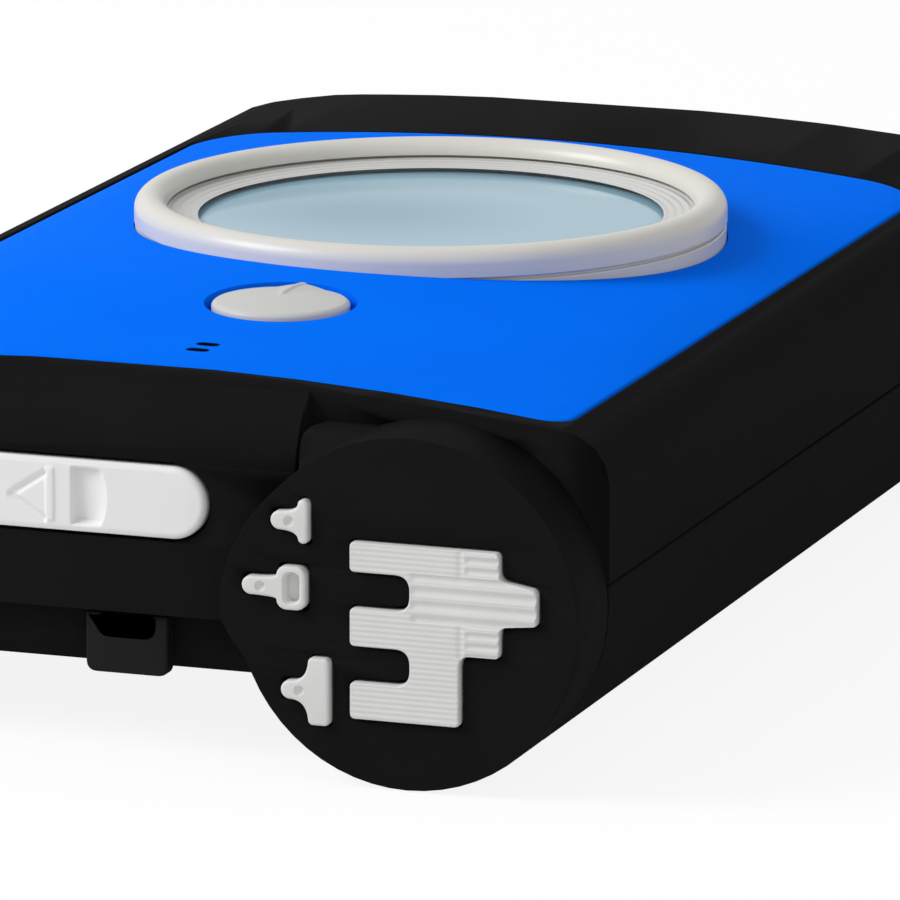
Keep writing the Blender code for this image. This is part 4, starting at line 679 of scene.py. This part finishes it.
def slide_depth(x, z):
    """How far the slide's face lies behind its highest level: arrow, bar and scoop."""
    up = z - SLIDE_Z
    arrow = np.maximum(stroke(x, z, ARROW_TIP, ARROW_HIGH, ARROW_WIDTH),
                       stroke(x, z, ARROW_TIP, ARROW_LOW, ARROW_WIDTH))
    bar = (np.clip(1 - ((x - BAR_X) / BAR_HALF) ** 4, 0, 1)
           * np.clip(BAR_TALL - abs(up), 0, 0.3) / 0.3)
    right = SCOOP_RIGHT - 0.45 * (up / 2.2) ** 2
    share = np.clip((right - x) / (right - SCOOP_DEEPEST), 0, 1)
    wall = np.clip((x - SCOOP_LEFT) / 0.2, 0, 1)
    fade = np.clip((SCOOP_TALL - abs(up)) / 0.35, 0, 1)
    droop = 1 + 0.12 * (up < 0) * abs(up)
    scoop = SCOOP_DEPTH * (share * (2 - share)) ** 0.8 * wall * fade * droop
    rise = END_RISE * np.clip((x - RISE_START) / RISE_RUN, 0, 1) ** 2
    return FACE_LEVEL + ARROW_DEPTH * arrow - BAR_HEIGHT * bar + scoop - rise


def slide_rows():
    """Rows along x; each is a closed loop over the front face and back along the rear.  The
    half-height follows the round ends and the rim is rounded over."""
    r = SLIDE_HEIGHT / 2
    ends = r * (1 - np.cos(np.radians(np.linspace(3, 90, 26))))
    x = np.concatenate([SLIDE_LEFT + ends, np.linspace(SLIDE_LEFT + r, SLIDE_RIGHT - r, 262)[1:-1],
                        SLIDE_RIGHT - ends[::-1]])[:, None]
    reach = np.clip(np.maximum(SLIDE_LEFT + r - x, x - SLIDE_RIGHT + r), 0, r - 0.002)
    half = np.sqrt(r * r - reach ** 2)
    v = np.sin(np.radians(np.linspace(-90, 90, 55)))[None]
    z = SLIDE_Z + half * v
    inside = r - np.hypot(reach, half * v)
    edge = np.clip(SLIDE_ROUND - inside, 0, SLIDE_ROUND)
    rim = SLIDE_ROUND - np.sqrt(SLIDE_ROUND ** 2 - edge ** 2)
    front = SLIDE_FRONT + slide_depth(x, z) * np.clip(inside / 0.25, 0, 1) + rim
    back_z = SLIDE_Z + half * np.linspace(1, -1, 7)[None]
    z_all = np.concatenate([z, back_z], 1)
    y_all = np.concatenate([front, np.full(back_z.shape, SLIDE_BACK)], 1)
    return np.stack([x + 0 * z_all, y_all, z_all], -1)


slide = surface("slide_plate_strip", slide_rows(), sharp=40.0)
combine(slide, prism("slide_stem", stadium(SLIDE_MIDDLE - STEM_LENGTH / 2,
                                           SLIDE_MIDDLE + STEM_LENGTH / 2, SLIDE_Z, STEM_HEIGHT),
                     SLIDE_BACK - 0.2, BODY_FRONT + WALL + GAP, "XZ"), "UNION", 40.0)
slide_white = moulded("slide_acetal", (0.78, 0.785, 0.78), 0.4, grain=4200.0, depth=2.5e-6,
                      mottle=0.02, ior=1.35)
dress(slide, "slide", slide_white, "slide_plate")
paint(moulded("carriage_acetal", (0.1, 0.1, 0.1), 0.42, grain=4000.0), "slide_carriage")
paint(moulded("switch_case", (0.02, 0.02, 0.02), 0.5, grain=4500.0), "slide_switch")

# ---- Lanyard eyelet -----------------------------------------------------------------
# A small moulded loop under the front wall, in a slightly paler grade of the black nylon,
# with soft edges and a notch that a cord passes through.
APRON_Z = -18.8
EYELET_LEFT, EYELET_RIGHT, EYELET_BOTTOM = -6.5, 0.4, -24.0
NOTCH_LEFT, NOTCH_RIGHT, NOTCH_BOTTOM = -5.25, -0.85, -20.8
EYELET_DEPTH, EYELET_EDGE = 1.3, 0.28


def round_corners(points, radii, steps=7):
    """Outline with each corner rounded by a quadratic curve tangent to both sides."""
    points = np.asarray(points, float)
    radii = np.broadcast_to(radii, len(points))
    path = []
    for here, before, after, radius in zip(points, np.roll(points, 1, 0),
                                           np.roll(points, -1, 0), radii):
        into, out = before - here, after - here
        far_in, far_out = np.hypot(*into), np.hypot(*out)
        half = 0.5 * np.arccos(np.clip(into @ out / (far_in * far_out), -1, 1))
        run = min(radius / np.tan(half), 0.48 * far_in, 0.48 * far_out)
        start, end = here + into * run / far_in, here + out * run / far_out
        t = np.linspace(0, 1, steps + 1)[:, None]
        path.append((1 - t) ** 2 * start + 2 * t * (1 - t) * here + t ** 2 * end)
    return np.concatenate(path)


def move_out(outline, distance):
    """Counter-clockwise outline moved outwards, its corners mitred."""
    into = outline - np.roll(outline, 1, 0)
    out = np.roll(outline, -1, 0) - outline
    into /= np.maximum(np.hypot(*into.T), 1e-9)[:, None]
    out /= np.maximum(np.hypot(*out.T), 1e-9)[:, None]
    first = np.stack([into[:, 1], -into[:, 0]], -1)
    second = np.stack([out[:, 1], -out[:, 0]], -1)
    return outline + distance * (first + second) / (1 + np.sum(first * second, 1))[:, None]


def pillow(name, outline, front, back, edge, steps=5, sharp=45.0):
    """Solid standing along y on a flat outline (x, z), its front rim rounded over."""
    rows = [np.insert(outline, 1, back, axis=1)]
    for turn in np.radians(np.linspace(0, 90, steps + 1)):
        ring = move_out(outline, -edge * (1 - np.cos(turn)))
        rows.append(np.insert(ring, 1, front + edge * (1 - np.sin(turn)), axis=1))
    return surface(name, rows, sharp=sharp)


eyelet_top = APRON_Z - GAP
eyelet_outline = round_corners([
    (EYELET_LEFT, EYELET_BOTTOM), (EYELET_RIGHT, EYELET_BOTTOM), (EYELET_RIGHT, eyelet_top),
    (NOTCH_RIGHT, eyelet_top), (NOTCH_RIGHT, NOTCH_BOTTOM), (NOTCH_LEFT, NOTCH_BOTTOM),
    (NOTCH_LEFT, eyelet_top), (EYELET_LEFT, eyelet_top)],
    [0.9, 0.9, 0.3, 0.3, 0.9, 0.9, 0.3, 0.3])
eyelet_back = LOWER_FRONT - GAP
eyelet = pillow("lanyard_loop", eyelet_outline, eyelet_back - EYELET_DEPTH, eyelet_back,
                EYELET_EDGE)
eyelet_nylon = moulded("eyelet_nylon", (0.0125, 0.0125, 0.0125), 0.5, grain=3800.0, depth=5e-6,
                       ior=1.15)
dress(eyelet, "housing", eyelet_nylon, "lanyard_eyelet")

# ---- Battery cap --------------------------------------------------------------------
# Black nylon, a thick disc with a finger lobe on its left, a square ear behind its rim and
# a spigot with a rubber seal that plugs into the tube.  The inlays sit in its pockets.
dress(smoothed("battery_cap"), "cap", black, "battery_cap")

# ---- Pale rubber inlays: the ribbed grip and three marks ----------------------------
# Moulded in soft pale rubber and bonded into the cap's pockets, standing 0.6 mm proud.
# The grip has fine ribs and a few coarse ridges, the marks a dimple or a hollow.
CAP_FRONT, INLAY_PROUD, INLAY_SINK = -67.5, 0.6, 0.6
INLAY_FRONT, INLAY_BACK = CAP_FRONT - INLAY_PROUD, CAP_FRONT + INLAY_SINK
GRIP_TRIM, GRIP_EDGE, MARK_EDGE = 0.06, 0.34, 0.26
FINE_DEPTH, FINE_PITCH = 0.035, 0.43
COARSE_DEPTH, COARSE_PITCH, TAB_PITCH = 0.17, 1.12, 0.85
BAND_LEFT, BAND_LOW, BAND_HIGH, BAND_FIRST = 0.5, -0.35, 3.5, 0.45
TAB_LEFT, TAB_FIRST_HIGH, TAB_FIRST_LOW, RIDGE_RAMP = 4.9, 5.3, -0.65, 0.3
CREASE_X, CREASE_HALF, CREASE_DEPTH, CREASE_LOW = 4.6, 0.22, 0.10, -3
STEM_HALF = 0.75

# grip outline, from the tube's axis: three prongs, a ledge, a shoulder and a tip
grip_points = [(-4.5, -8.5), (4.5, -8.5), (4.5, -2.8), (7.75, -2.8), (7.75, -0.3), (10.8, 0.0),
               (10.8, 2.9), (7.75, 3.4), (7.75, 5.6), (-4.5, 5.6),
               (-4.5, 3.2), (0.4, 3.2), (0.4, 0.35), (-4.5, 0.35),
               (-4.5, -2.7), (0.4, -2.7), (0.4, -5.55), (-4.5, -5.55)]
grip_radii = [0.45, 0.45, 0.9, 0.45, 0.7, 0.4, 0.5, 0.8, 0.4, 0.45,
              0.45, 1.2, 1.2, 0.45, 0.45, 1.2, 1.2, 0.45]
grip_outline = round_corners(np.array(grip_points) + (TUBE_X, TUBE_Z), grip_radii)

# marks, from the tube's left edge and axis height: (height, head left, head right, stem
# left, head half-height); a concave flare joins the round-ended stem to the head
marks = {"cap_mark_top": (6.85, 5.2, 6.1, 3.0, 1.75),
         "cap_mark_middle": (1.5, 3.4, 5.9, 0.6, 1.75),
         "cap_mark_bottom": (-6.6, 6.0, 7.8, 3.8, 2.7)}


def mark_outline(height, head_left, head_right, stem_left, half, corner):
    """Outline of a mark: the stem's round end, a curved flare and the head's rounded bar,
    first the lower half and then its mirror image."""
    left = TUBE_X - TUBE_RADIUS
    z = TUBE_Z + height
    a, b, c = left + head_left, left + head_right, left + stem_left
    flare = 0.62 * (a - c)
    t = np.linspace(0, 1, 9)[:, None]
    root, knee, tip = np.array([(a - flare, z - STEM_HALF), (a - 0.1, z - STEM_HALF - 0.05),
                                (a + 0.05, z - half + corner)])
    lower = (1 - t) ** 2 * root + 2 * t * (1 - t) * knee + t ** 2 * tip
    bend = arc((a + 0.05 + corner, z - half + corner), corner, 180, 270, 6)[1:]
    bend_right = arc((b - corner, z - half + corner), corner, 270, 360, 6)
    half_way = np.concatenate([arc((c + STEM_HALF, z), STEM_HALF, 180, 270, 8), lower, bend,
                               bend_right])
    mirrored = half_way[::-1] * (1, -1) + (0, 2 * z)
    return np.concatenate([half_way, mirrored[:-1]])


def grip_relief(x, z):
    """Depth of the grip's face: fine ribs along x all over, three coarse ridges in the band
    between slot and tip, and three in each tab on the right, set off by a crease."""
    across, up = x - TUBE_X, z - TUBE_Z
    fine = FINE_DEPTH * (0.5 - 0.5 * np.cos(2 * np.pi * up / FINE_PITCH))
    middle = (up > BAND_LOW) & (up < BAND_HIGH)
    band = np.clip((across - BAND_LEFT) / RIDGE_RAMP, 0, 1) * middle
    ridge = 0.5 - 0.5 * np.cos(2 * np.pi * (up - BAND_FIRST) / COARSE_PITCH)
    tab = np.clip((across - TAB_LEFT) / RIDGE_RAMP, 0, 1) * ~middle
    crease = (CREASE_DEPTH * np.exp(-((across - CREASE_X) / CREASE_HALF) ** 2) * ~middle
              * (up > CREASE_LOW))
    first = np.where(up > 0, TAB_FIRST_HIGH, TAB_FIRST_LOW)
    tab_ridge = 0.5 - 0.5 * np.cos(2 * np.pi * (up - first) / TAB_PITCH)
    coarse = COARSE_DEPTH * np.maximum(band * ridge, tab * tab_ridge)
    return np.maximum(coarse, fine) + crease


# the grip is its rounded outline, cut to a block whose front face is the ribbed surface
grip = pillow("grip_inlay", grip_outline, INLAY_FRONT - GRIP_TRIM, INLAY_BACK, GRIP_EDGE)
gx, gz = np.meshgrid(TUBE_X + np.linspace(-5.5, 11.8, 120), TUBE_Z + np.linspace(-9.5, 6.6, 330),
                     indexing="ij")
face = np.stack([gx, INLAY_FRONT - 0.001 + grip_relief(gx, gz), gz], -1)
back = np.stack([gx, 0 * gx + INLAY_BACK + 0.5, gz], -1)[:, ::-1][:, ::40]
combine(grip, surface("ribbed_block", np.concatenate([face, back], 1)), "INTERSECT", 30.0)
pale_rubber = moulded("pale_rubber", (0.67, 0.67, 0.66), 0.46, grain=3600.0, depth=3e-6,
                      mottle=0.04, ior=1.35)
dress(grip, "cap", pale_rubber, "cap_grip")


def dimple(x, z):
    """Egg-shaped tool for the shallow dip in a mark's stem."""
    mesh = bpy.data.meshes.new("dimple")
    work = bmesh.new()
    bmesh.ops.create_uvsphere(work, u_segments=32, v_segments=16, radius=1.0)
    spot = real((x, INLAY_FRONT - 0.25, z))
    bmesh.ops.transform(work, verts=work.verts, matrix=Matrix.Translation(spot)
                        @ Matrix.Diagonal((0.5 * MM, 0.55 * MM, 0.5 * MM, 1)))
    work.to_mesh(mesh)
    work.free()
    return add("dimple", mesh)


def hollow(x, z):
    """Tool for the deep upright oval in the middle mark's head, narrower as it goes in."""
    oval = round_corners([(x - 0.58, z - 1.12), (x + 0.58, z - 1.12), (x + 0.58, z + 1.12),
                          (x - 0.58, z + 1.12)], 0.55)
    steps = ((0.22, -70.0), (0.22, INLAY_FRONT), (0.02, INLAY_FRONT + 0.25),
             (-0.04, INLAY_FRONT + 0.85))
    return surface("hollow", [np.insert(move_out(oval, grow), 1, y, axis=1) for grow, y in steps])


tube_left = TUBE_X - TUBE_RADIUS
for name, (height, head_left, head_right, stem_left, half) in marks.items():
    corner = 0.8 if name == "cap_mark_middle" else 0.4
    outline = mark_outline(height, head_left, head_right, stem_left, half, corner)
    mark = pillow(name + "_inlay", outline, INLAY_FRONT, INLAY_BACK, MARK_EDGE)
    cuts = [dimple(tube_left + stem_left + 1.55, TUBE_Z + height)]
    if name == "cap_mark_middle":
        middle = tube_left + (head_left + head_right) / 2 + 0.1
        cuts.append(hollow(middle, TUBE_Z + height))
    combine(mark, cuts, sharp=45.0)
    dress(mark, "cap", pale_rubber, name)

# ---- Floor, light and camera --------------------------------------------------------
# A plain white table in a bright studio: one large soft lamp from the left front above, a
# weaker one from the right, and white all round for the camera.
HALF_FLOOR, FLOOR_Z = 3.0, -1e-4
floor_mesh = bpy.data.meshes.new("floor")
floor_mesh.from_pydata([(x * HALF_FLOOR, y * HALF_FLOOR, FLOOR_Z)
                        for x, y in ((-1, -1), (1, -1), (1, 1), (-1, 1))], [], [(0, 1, 2, 3)])
floor = add("floor", floor_mesh)
paper = bpy.data.materials.new("white_table")
paper.use_nodes = True
tree = paper.node_tree
tree.nodes.clear()
output = tree.nodes.new("ShaderNodeOutputMaterial")
path = tree.nodes.new("ShaderNodeLightPath")
start = Wire(tree, path.outputs["Is Camera Ray"])
matt = start.node("BsdfDiffuse", {"Color": (0.86, 0.86, 0.86, 1.0)})
bright = start.node("Emission", {"Color": (1, 1, 1, 1), "Strength": 1.03})
mixed = start.node("MixShader", {0: start * 0.86, 1: matt, 2: bright})
tree.links.new(mixed.socket, output.inputs["Surface"])
floor.data.materials.append(paper)

world = bpy.data.worlds.new("studio")
bpy.context.scene.world = world
world.use_nodes = True
tree = world.node_tree
tree.nodes.clear()
output = tree.nodes.new("ShaderNodeOutputWorld")
path = tree.nodes.new("ShaderNodeLightPath")
seen = Wire(tree, path.outputs["Is Camera Ray"])
glossy = Wire(tree, path.outputs["Is Glossy Ray"])
through = Wire(tree, path.outputs["Is Transmission Ray"])
direct = seen.math("MAXIMUM", seen, through)
strength = 0.5 + 0.5 * direct + 0.25 * glossy * (1 - direct)
background = seen.node("Background", {"Color": (1, 1, 1, 1), "Strength": strength})
tree.links.new(background.socket, output.inputs["Surface"])

LAMP_AIM, LAMP_SIZE = Vector((0, 0, 0.02)), 0.6


def lamp(name, place, power):
    """Square soft lamp at a place, facing the object."""
    made = bpy.data.lights.new(name, "AREA")
    made.size = LAMP_SIZE
    made.energy = power
    held = bpy.data.objects.new(name, made)
    bpy.context.scene.collection.objects.link(held)
    held.location = place
    held.rotation_euler = (LAMP_AIM - Vector(place)).to_track_quat("-Z", "Y").to_euler()


lamp("key", (-0.85, -0.45, 0.75), 10.4)
lamp("fill", (0.7, -0.8, 0.5), 1.2)

CAMERA_PLACE = (0.276966, -0.769126, 0.197207)
CAMERA_AXES = ((0.9427, 0.3337, 0.0), (-0.0738, 0.2085, 0.9752), (0.3254, -0.9193, 0.2212))
view = bpy.data.cameras.new("camera")
view.lens = 400.0
view.sensor_width = 36.0
view.clip_start, view.clip_end = 0.05, 20.0
camera = bpy.data.objects.new("camera", view)
bpy.context.scene.collection.objects.link(camera)
camera.matrix_world = (Matrix.Translation(CAMERA_PLACE)
                       @ Matrix(CAMERA_AXES).transposed().to_4x4())
bpy.context.scene.camera = camera
bpy.context.scene.view_settings.view_transform = "Standard"
